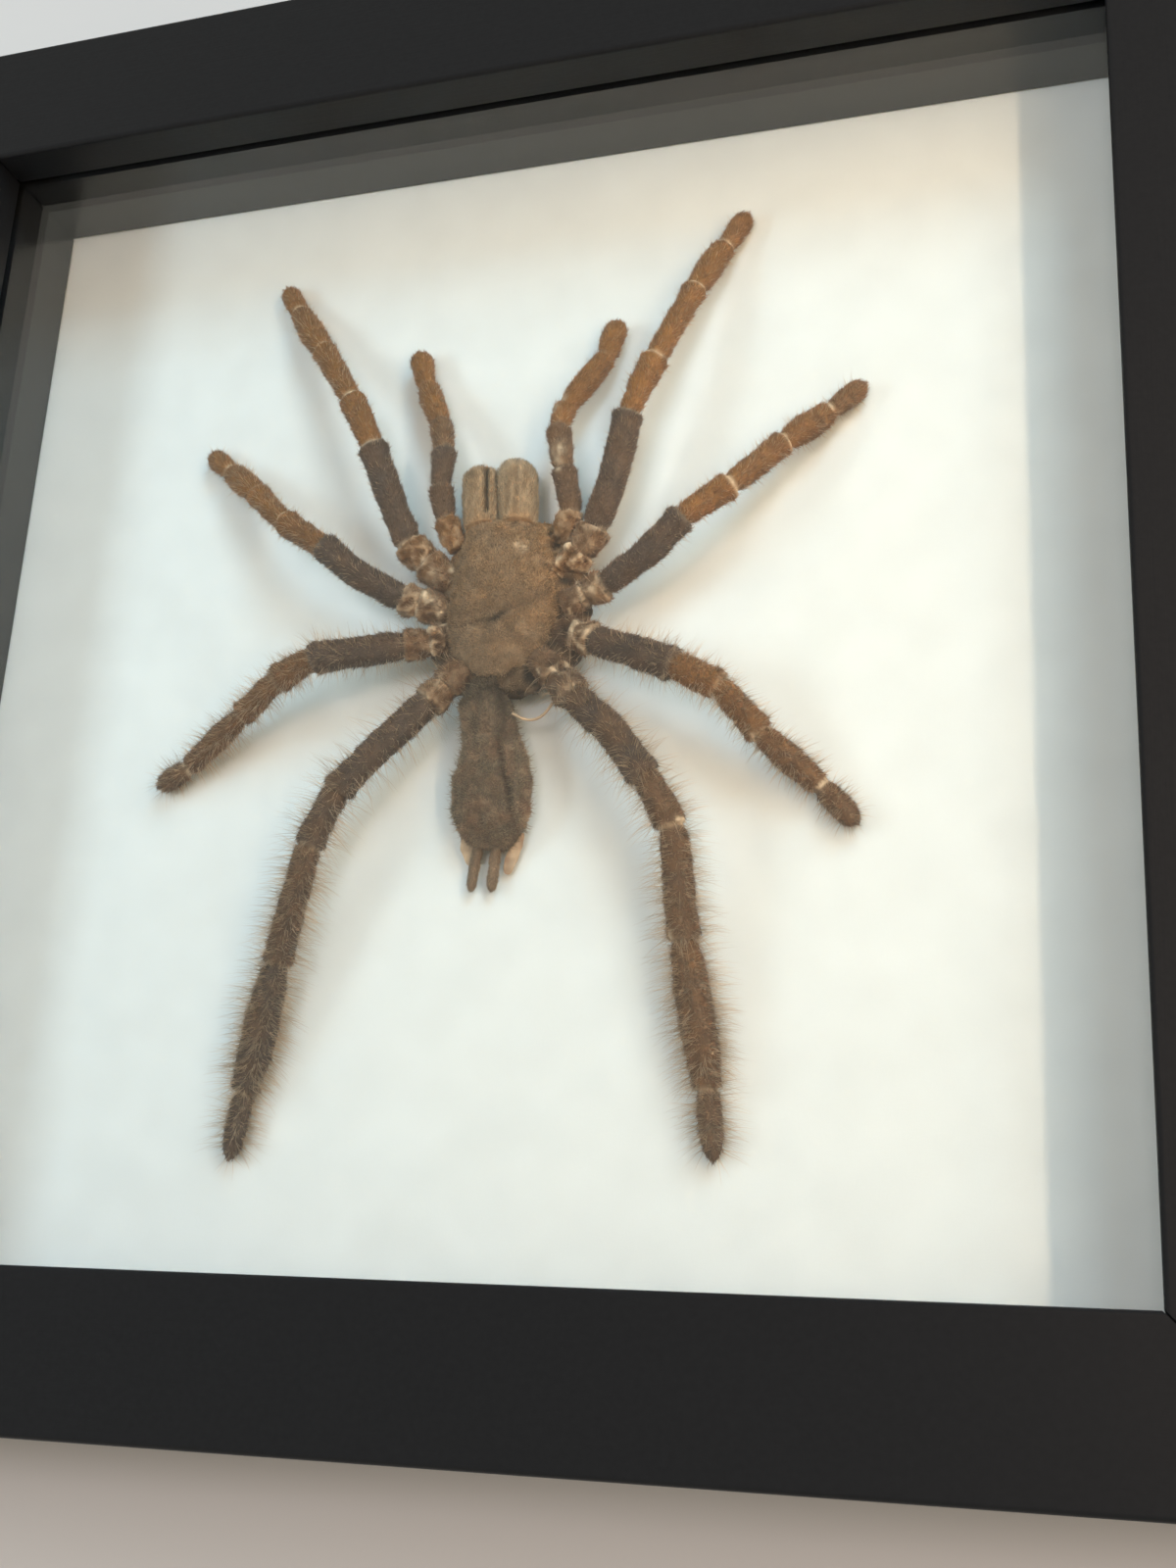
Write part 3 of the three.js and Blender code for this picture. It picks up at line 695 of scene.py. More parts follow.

# %% Spots that wear, damage and drying left
# x, y and radius in mm: where hair is gone and pale skin shows, and where the skin fell in and is
# darkened by painted shade. The bare spots at (3.2, 18.4) and (4.5, 17.6) are painted highlights
# on the carapace's right front.
bare_spots = [(8.2, 46.5, 1.0), (8.0, 44.2, 0.6), (9.4, 35.6, 1.2), (9.0, 33.6, 1.0),
              (9.8, 31.6, 0.6), (3.2, 18.4, 0.7), (4.5, 17.6, 0.8), (-13.9, 17.4, 0.8),
              (-12.7, 15.6, 0.6), (-8.9, 15.8, 0.5), (-10.7, 7.8, 0.5),
              (-12.2, 10.3, 0.5), (12.7, -2.5, 0.8), (15.9, 9.6, 0.8), (15.4, 2.4, 0.9),
              (43.2, -16.4, 0.7), (33.4, -30.4, 0.6), (31.0, -47.6, 0.7)]
hollows = [(9.0, 19.2, 1.6), (11.6, 12.4, 1.3), (7.9, 21.4, 0.8), (14.6, 7.6, 0.7), (11.2, 3.6, 1.6),
           (9.8, -2.0, 1.0)]
# Bent lines along the edges of dried joints, where a pale seam shows.
bare_seams = [[(13.2, 12), (13.9, 11.1), (14.3, 9.4), (14.7, 7.7)], [(11.6, 6.9), (14.2, 8.6)],
              [(13.0, 4.3), (13.4, 2.2), (14.4, 0.4), (15.7, -0.8)], [(13.4, 4.6), (15.4, 4.4)],
              [(7.6, -3.2), (8.4, -4.6)], [(10.0, -3.6), (11.8, -4.6)], [(-13.0, 11.8), (-12.6, 9.2)],
              [(-15.0, 11.6), (-14.6, 9.0)]]
seam_width = 0.24  # mm on each side of its line


def distance_to_line(plan, start, end):
    """Distance in plan from points to the stretch of line between two places."""
    start, end = np.array(start), np.array(end)
    share = ((plan - start) @ (end - start)) / ((end - start) @ (end - start))
    nearest = start + np.clip(share, 0, 1)[..., None] * (end - start)
    return np.linalg.norm(plan - nearest, axis=-1)


def spot_marks(points):
    """How bare and how hollow the skin is at each point: the strongest of the humps around the
    spots and seams, made ragged by noise."""
    plan = points[..., :2] + 0.45 * np.stack([noise(points, 0.9, 3), noise(points, 0.9, 4)], -1)
    bare = np.zeros(points.shape[:-1])
    hollow = np.zeros(points.shape[:-1])
    for x, y, radius in bare_spots:
        bare = np.maximum(bare, bump_at(np.linalg.norm(plan - (x, y), axis=-1), radius))
    for seam in bare_seams:
        for start, end in zip(seam[:-1], seam[1:]):
            bare = np.maximum(bare, bump_at(distance_to_line(plan, start, end), seam_width))
    for x, y, radius in hollows:
        hollow = np.maximum(hollow, bump_at(np.linalg.norm(plan - (x, y), axis=-1), radius))
    return bare * np.clip(0.65 + 0.9 * noise(points, 0.6, 23), 0, 1), hollow


print("bare spots:", len(bare_spots), "seams:", len(bare_seams), "hollows:", len(hollows))

# %% A bent line and a tube round it
corner_softness = 1.1  # mm over which a bend is rounded


def middle_line(corners, distance):
    """Points on a bent line at the distances given, with its corners rounded: the mean of the
    line around each place, weighted with a bell curve."""
    spans = np.linalg.norm(np.diff(corners, axis=0), axis=1)
    joints = np.concatenate([[0], np.cumsum(spans)])
    extended = np.concatenate([[2 * corners[0] - corners[1]], corners,
                               [2 * corners[-1] - corners[-2]]])
    places = np.concatenate([[-spans[0]], joints, [joints[-1] + spans[-1]]])
    offsets = np.linspace(-2, 2, 17) * corner_softness
    weights = np.exp(-(offsets / corner_softness) ** 2)
    around = distance[:, None] + offsets
    mixed = [(np.interp(around, places, extended[:, axis]) * weights).sum(axis=1)
             for axis in range(3)]
    return np.stack(mixed, axis=-1) / weights.sum()


def tube(path, half_width, half_height, columns):
    """A skin round a line of points: at each an upright oval across the line's direction."""
    ahead = unit(np.gradient(path, axis=0))
    right = unit(np.cross(ahead, [0, 0, 1]))
    above = np.cross(right, ahead)
    angle = np.arange(columns) * 2 * np.pi / columns
    return (path[:, None]
            + half_width[:, None, None] * np.cos(angle)[None, :, None] * right[:, None]
            + half_height[:, None, None] * np.sin(angle)[None, :, None] * above[:, None])


straight = tube(np.array([(0, 0, 0), (0, 5, 0), (0, 10, 0)]), np.ones(3), np.ones(3), 4)
print("a tube of 3 rings and 4 columns:", straight.shape)

# %% Where a limb gets its rings, and how wide they are
station_step = 0.45  # mm between rings, and a quarter of that next to a joint
fine_steps = 2000  # places along a limb at which the density of rings is worked out
neck_length = 0.8  # mm past a joint over which the limb widens again


def ring_places(total, real):
    """Distances from the root at which a limb gets its rings, which lie closer together near the
    joints: one ring each time that the summed density of rings has grown by the same amount."""
    even = np.linspace(0, total, fine_steps)
    nearest = np.abs(even[:, None] - real).min(axis=1)
    density = 1 + 3 * bump_at(nearest, 1.0)
    passed = np.cumsum(density)
    rows = int(passed[-1] / fine_steps * total / station_step)
    return np.interp(np.linspace(passed[0], passed[-1], rows), passed, even)


def plain_half_width(distance, joints, widths, double_span):
    """Half the width of each ring's segment. Inside a double span it changes evenly from the
    middle of the one to the middle of the other."""
    span = np.clip(np.searchsorted(joints, distance, side="right") - 1, 0, len(joints) - 2)
    half = np.array(widths)[span] / 2
    if double_span is None:
        return half
    middles = (joints[1:] + joints[:-1]) / 2
    inside = (span == double_span) | (span == double_span + 1)
    blended = np.interp(distance, middles[double_span:double_span + 2],
                        widths[double_span:double_span + 2]) / 2
    return np.where(inside, blended, half)


def swollen(half, near, far, last_but_one):
    """The half widths with the swelling of each segment. near and far are a ring's distances
    from the two joints. A segment widens to its far end, or in its middle if it is the last but
    one, drops in just past a joint and has a slight shoulder before the next."""
    share = near / (near + far)
    profile = np.where(last_but_one, 1.05 - 0.28 * (2 * share - 1) ** 2, 0.93 + 0.13 * share)
    narrow = 1 - 0.08 * bump_at(far, neck_length / 2) - 0.17 * bump_at(near, neck_length)
    shoulder = 1 + 0.08 * bump_at(far - 0.9, 0.8)
    return half * profile * narrow * shoulder


print("rings on a stretch of 10 mm between joints:", len(ring_places(10, np.array([0, 10]))))

# %% The skin of a limb
ring_length = 0.42  # mm on each side of a joint where the soft skin shows
limb_flatness = 0.88  # height of a section as a share of its width
tip_bluntness = 0.65  # 0.5 closes the tip as a half circle, 1 as a parabola
columns_round_limb = 40


def limb(corners, widths, tip_length, soft_rings, warmth, paleness, double_span=None):
    """A limb from its root to its claw. corners are the joints, and widths, soft_rings, warmth
    and paleness go by segment: the width, how pale the joint before it is, and its marks. Over
    tip_length in mm the limb closes. A pale segment is also patchy. double_span is the first of
    two spans that make up one segment, with no joint between them. Returns the grid, the marks,
    each row's distance from the root and how well hairs cover the skin, which is less at the
    joints."""
    spans = np.linalg.norm(np.diff(corners, axis=0), axis=1)
    total = spans.sum()
    joints = np.concatenate([[0], np.cumsum(spans)])
    real = np.delete(joints, double_span + 1) if double_span is not None else joints
    distance = ring_places(total, real)
    segment = np.clip(np.searchsorted(real, distance, side="right") - 1, 0, len(real) - 2)
    near = distance - real[segment]
    far = real[segment + 1] - distance
    from_tip = np.clip((total - distance) / tip_length, 0, 1)
    rounding = np.clip(1 - (1 - from_tip) ** 2, 0.01, 1) ** tip_bluntness
    half = plain_half_width(distance, joints, widths, double_span)
    half = swollen(half, near, far, segment == len(real) - 3) * rounding

    grid = tube(middle_line(corners, distance), half, half * limb_flatness, columns_round_limb)
    normal = outward(grid)
    bare, hollow = spot_marks(grid)
    patchy = np.array(paleness)[segment][:, None]
    patches = 0.6 * noise(grid, 1.3, 36) + 0.6 * noise(grid, 0.6, 37)
    relief = (0.2 * noise(grid, 3.2, 1) + 0.12 * noise(grid, 1.1, 2) - 1.3 * hollow
              + 0.25 * bare * noise(grid, 0.7, 22) + 1.8 * patchy * patches)
    fade = np.minimum(1, (total - distance) / 3)[:, None]
    grid = grid + normal * (relief * fade)[..., None]

    strength = np.array([0, *soft_rings, 0])
    ring_pale = (bump_at(near, ring_length) * strength[segment]
                 + bump_at(far, ring_length) * strength[segment + 1])
    ragged = np.clip(0.7 + 1.3 * noise(grid, 1.0, 5), 0, 1)
    shade = np.ones((1, columns_round_limb))
    marks = {
        "warm": np.array(warmth)[segment][:, None] * shade + 0.15 * noise(grid, 2.5, 6),
        "pale": np.clip(ring_pale[:, None] * ragged * 1.15 + bare + patchy * (0.5 + 2 * patches),
                        0, 1),
        # Painted shade darkens the hollows; the rest of the dark mark is dark patches of the pale,
        # patchy segments.
        "dark": np.clip(0.8 * hollow + 2 * patchy * np.clip(-patches, 0, 1), 0, 1),
    }
    clear = bump_at(near, 0.6) * strength[segment] + bump_at(far, 0.9) * strength[segment + 1]
    cover = (1.05 - 0.9 * marks["pale"] - 0.8 * hollow) * (1 - clear)[:, None]
    return grid, marks, distance, np.clip(cover, 0.03, 1)


print("height of a limb as a share of its width:", limb_flatness)

# %% A limb with its hairs
fuzz_length = 0.5, 1.4  # shortest and longest, mm
bristle_thickness = 0.085  # mm
bristle_paleness = 0.95  # bristles are nearly as light as the soft skin


def make_limb(name, shape, chance, fuzz_count, bristle_count, bristle_length):
    """A limb's skin with fuzz all over, and long bristles that stand out from its outer half.
    shape is what limb() returns."""
    grid, marks, distance, cover = shape
    fuzz = grow(grid, marks, chance, fuzz_count, fuzz_length, fuzz_thickness, lean=0.7,
                spread=0.5, droop=0.4, weight=cover)
    outer = np.interp(distance / distance[-1], [0, 0.25, 0.5, 0.95, 1], [0.1, 0.4, 1, 1, 0.2])
    bristles = grow(grid, marks, chance, bristle_count, bristle_length, bristle_thickness,
                    lean=0.1, spread=0.18, droop=0.12, rings=2, weight=outer[:, None] * cover)
    bristles[2]["pale"] = np.maximum(bristles[2]["pale"], bristle_paleness)
    make_skin(name, grid, marks, leg_skin, [name])
    make_hairs(name, [fuzz, bristles], leg_hair)


print("thickness of fuzz and bristles:", fuzz_thickness, bristle_thickness, "mm")

# %% [markdown]
# ## The eight legs
# The femora are dark grey-brown. On the first three pairs the segments beyond the knee are
# rust-brown, and the last pair stays dark all along and carries the longest bristles.
# Each leg has its own warm marks, because no two dried alike.

# %% Legs
# Warm marks from coxa to tarsus: coxa, trochanter, femur, patella, tibia, metatarsus, tarsus.
leg_warmth = {
    "leg_left_1": [0.5, 0.65, 0.08, 0.9, 0.85, 0.9, 1.0],
    "leg_left_2": [0.4, 0.5, 0.03, 0.75, 0.95, 0.98, 0.95],
    "leg_left_3": [0.45, 0.45, 0.05, 0.62, 0.6, 0.48, 0.36],
    "leg_left_4": [0.32, 0.42, 0.12, 0.16, 0.28, 0.06, 0.0],
    "leg_right_1": [0.9, 0.55, 0.12, 1.1, 0.93, 0.96, 0.85],
    "leg_right_2": [0.35, 0.5, 0.06, 0.92, 0.8, 0.86, 0.65],
    "leg_right_3": [0.2, 0.5, 0.02, 0.75, 0.74, 0.57, 0.42],
    "leg_right_4": [0.35, 0.2, 0.1, 0.36, 0.38, 0.44, 0.26],
}
# How pale the soft rings are, by pair: coxa to trochanter, to femur, to patella, to tibia, to
# metatarsus, to tarsus.
leg_rings = {
    1: [0.3, 0.5, 0.5, 0.9, 1.0, 1.0],
    2: [0.4, 0.4, 0.15, 0.95, 1.0, 1.0],
    3: [0.4, 0.3, 0.15, 0.35, 0.45, 0.95],
    4: [0.3, 0.3, 0.1, 0.5, 0.2, 0.5],
}
# How many bristles a leg of each pair has, and their shortest and longest length in mm.
bristle_plans = {
    1: (900, (0.9, 2.2)),
    2: (1200, (0.9, 2.6)),
    3: (2400, (1.2, 4.4)),
    4: (4500, (1.5, 6.8)),
}
# How pale and patchy the coxa and the trochanter of each leg are.
leg_paleness = {
    "leg_left_1": (0.16, 0.3), "leg_left_2": (0.2, 0.32), "leg_left_3": (0.45, 0.16),
    "leg_left_4": (0.1, 0.2), "leg_right_1": (0.45, 0.18), "leg_right_2": (0.12, 0.14),
    "leg_right_3": (0.0, 0.12), "leg_right_4": (0.06, 0.1),
}
tarsus_paleness = 0.03
fuzz_per_leg = 11000
femur_span = 2  # the first of the two spans that make up the femur

for index, (name, plan) in enumerate(leg_plans.items()):
    pair = int(name[-1])
    corners = np.array([(x, y, board_top + z) for (x, y), z in zip(plan, leg_heights)])[::-1]
    paleness = [*leg_paleness[name], 0, 0, 0, 0, tarsus_paleness]
    shape = limb(corners, leg_widths[pair][::-1], leg_tips[pair], leg_rings[pair],
                 leg_warmth[name], paleness, femur_span)
    chance = np.random.default_rng(100 + index)
    make_limb(name, shape, chance, fuzz_per_leg, *bristle_plans[pair])

# %% Pedipalps
palp_warmth = {
    "pedipalp_left": [0.85, 0.25, 0.13, 0.52, 0.88, 1.0],
    "pedipalp_right": [0.8, 0.22, 0.4, 1.0, 0.9, 0.95],
}
palp_rings = [0.25, 0.1, 0.15, 0.1, 0.1]
palp_paleness = [0.22, 0, 0.02, 0.05, 0, 0.02]
fuzz_per_palp, bristles_per_palp = 5500, 300
for index, (name, plan) in enumerate(palp_plans.items()):
    corners = np.array([(x, y, board_top + z) for (x, y), z in zip(plan, palp_heights)])[::-1]
    shape = limb(corners, palp_widths[::-1], palp_tip, palp_rings, palp_warmth[name],
                 palp_paleness)
    chance = np.random.default_rng(200 + index)
    make_limb(name, shape, chance, fuzz_per_palp, bristles_per_palp, (0.8, 1.8))

# %% [markdown]
# ## The body
# The carapace and the abdomen are closed skins laid over a row of oval sections. A few
# sections are enough to give the outline; a smooth curve through them fills in the rest, and
# relief is added from above: the dimple and radial furrows of the carapace, the folds of the
# shrunken abdomen.

# %% A skin over oval sections
body_columns = 112


def body_form(stations, rows, roundness):
    """A closed skin through sections given as y, left and right edge, underside and top above
    the board. Between sections the values follow a smooth curve, and past the end
    sections the form closes like a dome, roundness mm long. Returns the grid and the share of
    each point's angle round the section that faces up."""
    stations = np.array(stations, float)[::-1]
    order = stations[:, 0]
    y = np.linspace(order[0], order[-1], rows)
    values = []
    for column in stations.T[1:]:
        slope = np.gradient(column, order)
        index = np.clip(np.searchsorted(order, y, side="right") - 1, 0, len(order) - 2)
        width = order[index + 1] - order[index]
        t = (y - order[index]) / width
        values.append(
            (2 * t ** 3 - 3 * t ** 2 + 1) * column[index]
            + (t ** 3 - 2 * t ** 2 + t) * width * slope[index]
            + (3 * t ** 2 - 2 * t ** 3) * column[index + 1]
            + (t ** 3 - t ** 2) * width * slope[index + 1]
        )
    left, right, low, high = values
    x, half = (left + right) / 2, (right - left) / 2
    dome = np.sin(np.linspace(0, np.pi / 2, 9))[:-1]
    size = np.sqrt(1 - (1 - dome) ** 2)
    before = [(y[0] - roundness * (1 - d), x[0], half[0] * s, (low[0] + high[0]) / 2,
               (high[0] - low[0]) / 2 * s) for d, s in zip(dome, size)]
    after = [(y[-1] + roundness * (1 - d), x[-1], half[-1] * s, (low[-1] + high[-1]) / 2,
              (high[-1] - low[-1]) / 2 * s) for d, s in zip(dome[::-1], size[::-1])]
    middle = np.stack([y, x, half, (low + high) / 2, (high - low) / 2], axis=-1)
    y, x, half, level, rise = np.concatenate([before, middle, after]).T[:, :, None]
    angle = np.arange(body_columns) * 2 * np.pi / body_columns
    side = np.sign(np.cos(angle)) * np.abs(np.cos(angle)) ** 0.85
    up = np.sign(np.sin(angle)) * np.abs(np.sin(angle)) ** 0.95
    grid = np.stack([x + half * side, y + 0 * side, board_top + level + rise * up], axis=-1)
    return grid, np.clip(np.sin(angle), 0, 1)[None, :]


# The sections of each form, from front to rear.
carapace_stations = [
    (24.2, -4.9, 3.6, 5.6, 8), (23.4, -6.4, 4.6, 4.4, 9.2), (21, -7.2, 5.8, 3.4, 10.1),
    (17, -8.0, 7.6, 2.6, 10.9), (13, -8.6, 9.0, 2.4, 11.4), (9, -8.9, 9.6, 2.2, 11.6),
    (5, -8.9, 9.4, 2.2, 11.3), (1.5, -8.2, 8.0, 2.4, 10.5), (-1, -6.6, 5.8, 3, 9.3),
    (-2.8, -4.2, 3.0, 4, 7.8),
]
coxal_stations = [
    (23.5, -7.8, 8.2, 2.6, 7.0), (20.5, -9.2, 12.4, 2, 8.2), (16.5, -11.4, 13.8, 1.6, 8.2),
    (12.5, -12.8, 14.8, 1.3, 7.8), (8.5, -13.4, 15.0, 1.2, 7.6), (4.5, -13.2, 14.8, 1.2, 7.5),
    (0.5, -12.2, 13.8, 1.3, 7.3), (-3, -9.8, 11.2, 1.6, 6.9), (-5.4, -5.6, 6.4, 2.2, 6.2),
]
abdomen_stations = [
    (-3.2, -4.4, 1.2, 3.4, 6.8), (-6, -6.2, 1.4, 2.2, 7.6), (-8.6, -6.5, 2.2, 1.7, 7.8),
    (-10.6, -6.2, 2.9, 1.4, 7.8), (-12.6, -5.9, 3.6, 1.2, 7.7), (-14.4, -5.8, 4.1, 1.1, 7.6),
    (-16.2, -6.2, 4.7, 1.0, 7.4), (-19.1, -6.9, 5.7, 0.9, 7.2), (-22.5, -7.4, 6.2, 0.8, 6.9),
    (-25.5, -7.2, 5.9, 0.8, 6.4), (-28, -6.4, 5.1, 0.9, 5.6), (-29.6, -5.4, 4.2, 1.0, 4.9),
    (-30.6, -4.5, 3.2, 1.2, 4.4), (-31.2, -3.6, 2.4, 1.4, 4.0),
]
print("sections:", len(carapace_stations), len(coxal_stations), len(abdomen_stations))

# %% [markdown]
# ## The carapace
# In the middle of its back the carapace is drawn in where muscles were fixed inside: a dimple,
# with faint furrows that run out from it like spokes and a crease to its left that came with
# drying. These are also darkened with painted shade. Near its front edge is the low mound that
# carries the eyes, which are too small to model. The hairs in front are golden, and those at the
# rear greyer. The right margin is made warmer as a painted highlight and the left side darker as
# painted shade, as if lit from the right.

# %% Carapace
dimple = np.array([1.2, 5.3])
dimple_turn = np.radians(32)  # of the dimple's long axis from X
crease_ends = (-5.3, 4.4), (0.4, 4.9)
spokes = 5
carapace_fuzz, carapace_fringe = 23000, 2200  # hairs
grid, upper = body_form(carapace_stations, 150, 0.7)
offset = grid[..., :2] - dimple
reach = np.linalg.norm(offset, axis=-1)
bearing = np.arctan2(offset[..., 0], offset[..., 1])
furrow = np.abs(np.cos(bearing * spokes / 2 + 0.25)) ** 10 * bump_at(reach - 4.2, 3.2)
along_dimple = offset @ (np.cos(dimple_turn), np.sin(dimple_turn))
across_dimple = offset @ (-np.sin(dimple_turn), np.cos(dimple_turn))
pit = bump_at(np.hypot(along_dimple / 3.4, across_dimple), 0.6)
crease = bump_at(distance_to_line(grid[..., :2], *crease_ends), 0.35)
mound = bump_at(np.hypot(grid[..., 0] - 0.2, (grid[..., 1] - 22.3) * 1.5), 1.6)
bare, hollow = spot_marks(grid)
lift = (-0.5 * pit - 0.2 * crease - 0.16 * furrow + 0.5 * mound + 0.22 * noise(grid, 4.0, 7)
        + 0.14 * noise(grid, 1.2, 8) - 0.5 * hollow)
grid[..., 2] += lift * upper
# The right margin is made warmer as a painted highlight, lit from the right; it also bears more
# fringe hairs.
lit_right_margin = np.clip((grid[..., 0] - 3) / 6, 0, 1)
front = np.clip((grid[..., 1] - 17) / 6, 0, 1)
rear = np.clip((5 - grid[..., 1]) / 6, 0, 1)
carapace_marks = {
    "warm": np.clip(0.3 + 0.35 * noise(grid, 2.2, 9) + 0.3 * lit_right_margin + 0.3 * front
                    - 0.3 * rear, 0, 1),
    "pale": np.clip(bare + 0.18 * rear + 0.2 * np.clip(noise(grid, 1.1, 38), 0, 1), 0, 1),
    # Painted shade in the dimple, crease, furrows and hollows, and on the left side of the carapace.
    "dark": np.clip(pit + 0.4 * crease + 0.2 * furrow + 0.4 * hollow
                    + 0.25 * np.clip((-4 - grid[..., 0]) / 4, 0, 1), 0, 1),
}
make_skin("cephalothorax", grid, carapace_marks, body_skin, ["cephalothorax"])
chance = np.random.default_rng(300)
cover = (0.25 + 0.75 * upper) * (1 - 0.8 * pit - 0.4 * crease)
fuzz = grow(grid, carapace_marks, chance, carapace_fuzz, (0.4, 1.1), fuzz_thickness,
            lean=-0.35, spread=0.7, droop=0.3, weight=cover)
fringe = grow(grid, carapace_marks, chance, carapace_fringe, (1.0, 2.4), 0.12,
              lean=-0.2, spread=0.5, droop=0.2, rings=2, weight=0.3 + lit_right_margin)
make_hairs("cephalothorax", [fuzz, fringe], body_hair)

# %% [markdown]
# ## The coxal ring
# Round the carapace and under it lie the roots of all the limbs, with soft skin between them. As
# the spider dried they sank together into one uneven brown mass, from which the coxae stand
# out by a millimetre. A low skin that is wider than the carapace fills the gaps between them.

# %% Skin between the coxae
coxal_fuzz = 9000  # hairs
grid, upper = body_form(coxal_stations, 120, 0.8)
bare, hollow = spot_marks(grid)
grid[..., 2] += (0.5 * noise(grid, 1.8, 24) + 0.25 * noise(grid, 0.8, 25) - 1.2 * hollow) * upper
normal = outward(grid)
grid = grid + normal * (0.5 * noise(grid, 1.6, 26) * (1 - upper))[..., None]
marks = {
    "warm": np.clip(0.4 + 0.5 * noise(grid, 2.0, 27) + 0.06 * (grid[..., 1] - 10), 0, 1),
    "pale": np.clip(bare + 0.5 * (noise(grid, 0.8, 28) - 0.45), 0, 1),
    # Painted shade darkens the hollows; elsewhere the skin is darker towards the rear and at random.
    "dark": np.clip(0.8 * hollow + 0.25 - 0.03 * (grid[..., 1] - 8) - 0.6 * noise(grid, 1.3, 29),
                    0, 1),
}
make_skin("coxal_ring", grid, marks, body_skin)
chance = np.random.default_rng(310)
cover = (0.2 + 0.8 * upper) * np.clip(1.05 - 0.9 * marks["pale"] - 0.8 * hollow, 0.03, 1)
fuzz = grow(grid, marks, chance, coxal_fuzz, (0.5, 1.5), 0.13, lean=-0.2, spread=0.8, droop=0.3,
            weight=cover)
make_hairs("coxal_ring", [fuzz], body_hair)

# %% [markdown]
# ## The chelicerae
# The two stout jaws in front carry the fangs, which are folded away beneath. They are covered
# with pale hairs that lie flat and point forward, so that each looks striped lengthwise. The
# left one dried with a deep crease along it.

# %% Chelicerae
chelicerae = {
    "chelicera_left": {"tip": (-5.8, 35.3, 5.0), "root": (-4.0, 23, 6.8), "width": 6.7,
                       "crease": ((-4.0, 34.4), (-2.9, 25.5)), "depth": 1.2, "paleness": 0.15},
    "chelicera_right": {"tip": (0.4, 36.0, 5.0), "root": (2, 23, 6.8), "width": 6.5,
                        "crease": ((2.0, 33), (2.4, 28)), "depth": 0.25, "paleness": 1.2},
}
chelicera_height = 7.6  # mm
crease_width = 0.32  # mm
hairs_per_chelicera = 6000


def rod(tip, root, width, height, rows, columns):
    """A rounded rod from its root to its tip. Its size swells slowly from the root and closes
    at the tip along an arc."""
    start = np.array(root) + (0, 0, board_top)
    end = np.array(tip) + (0, 0, board_top)
    share = np.sin(np.linspace(0, np.pi / 2, rows)) ** 1.3
    size = np.interp(share, [0, 0.3, 0.7, 1], [0.9, 1, 1, 0.97])
    size = size * np.sqrt(np.clip(1 - ((share - 0.75) / 0.252).clip(0, 1) ** 2.1, 0.004, 1))
    path = start + (end - start) * share[:, None]
    return tube(path, size * width / 2, size * height / 2, columns)


for index, (name, plan) in enumerate(chelicerae.items()):
    grid = rod(plan["tip"], plan["root"], plan["width"], chelicera_height, 90, 64)
    normal = outward(grid)
    facing_up = np.clip(normal[..., 2], 0, 1)
    # front is a painted highlight: paler towards the tip on faces that look up, scaled by paleness,
    # which is high on the right chelicera.
    front = np.linspace(0, 1, len(grid))[:, None] ** 2 * facing_up
    crease = bump_at(distance_to_line(grid[..., :2], *plan["crease"]), crease_width)
    crease = crease * facing_up ** 0.3
    ridges = noise(grid * (1, 0.12, 1), 0.75, 12)
    grid = grid + normal * (0.1 * ridges + 0.12 * noise(grid, 2.4, 13))[..., None]
    grid[..., 2] -= plan["depth"] * crease
    marks = {
        "warm": np.clip(0.5 + 0.5 * ridges, 0, 1),
        "pale": np.clip(plan["paleness"] * front + 0.2 * (ridges - 0.3), 0, 1),
        # Painted shade darkens the crease, in proportion to its depth.
        "dark": np.clip(crease * plan["depth"], 0, 0.95),
    }
    make_skin(name, grid, marks, fang_base_skin, [name])
    chance = np.random.default_rng(400 + index)
    cover = 1 - 0.9 * np.clip(crease * plan["depth"], 0, 1)
    flat_hairs = grow(grid, marks, chance, hairs_per_chelicera, (0.8, 1.7), fuzz_thickness,
                      lean=2.2, spread=0.35, droop=0.35, weight=cover)
    make_hairs(name, [flat_hairs], fang_base_hair)

# %% [markdown]
# ## The abdomen
# The soft abdomen shrank as it dried. What is left is a flat bag with a long fold right of its
# middle, a narrower ridge beyond it and lesser wrinkles lengthwise. Its skin is reddish where it is
# stretched thin along the right edge, and torn into thin flaps at the end, beside the two long
# spinnerets. A dried strand of tissue runs in an arc from the waist to the last right leg.

# %% Abdomen
abdomen_fuzz, abdomen_fringe = 19000, 2200  # hairs
grid, upper = body_form(abdomen_stations, 170, 0.6)
plan = grid[..., :2]
# The x of the long fold, at places ever further to the rear.
fold_x = np.interp(-plan[..., 1], [9, 12, 15.2, 19.2, 22.6, 26.1, 29.4],
                   [0.4, 0.6, 1.0, 2.1, 2.9, 3.5, 3.7])
across = plan[..., 0] - fold_x + 0.3 * noise(grid, 2.0, 30)
in_length = bump_at(plan[..., 1] + 21, 9)
fold = bump_at(across, 0.75) * in_length
ridge = bump_at(across - 1.7, 1.0) * in_length
left_line = distance_to_line(plan, (-3.0, -12), (-4.6, -24))
left_fold = bump_at(left_line + 0.3 * noise(grid, 1.5, 31), 0.5)
wrinkles = noise(grid * (1, 0.25, 1), 1.1, 14)
lift = (-1.0 * fold + 0.4 * ridge - 0.3 * left_fold + 0.4 * wrinkles + 0.25 * noise(grid, 2.8, 15)
        + 0.2 * noise(grid, 0.9, 16))
grid[..., 2] += lift * upper
normal = outward(grid)
grid = grid + normal * (0.45 * noise(grid, 1.8, 17) * (1 - upper))[..., None]
right_edge = np.clip((plan[..., 0] - 4.6) / 1.2, 0, 1) * bump_at(plan[..., 1] + 27.5, 3.5)
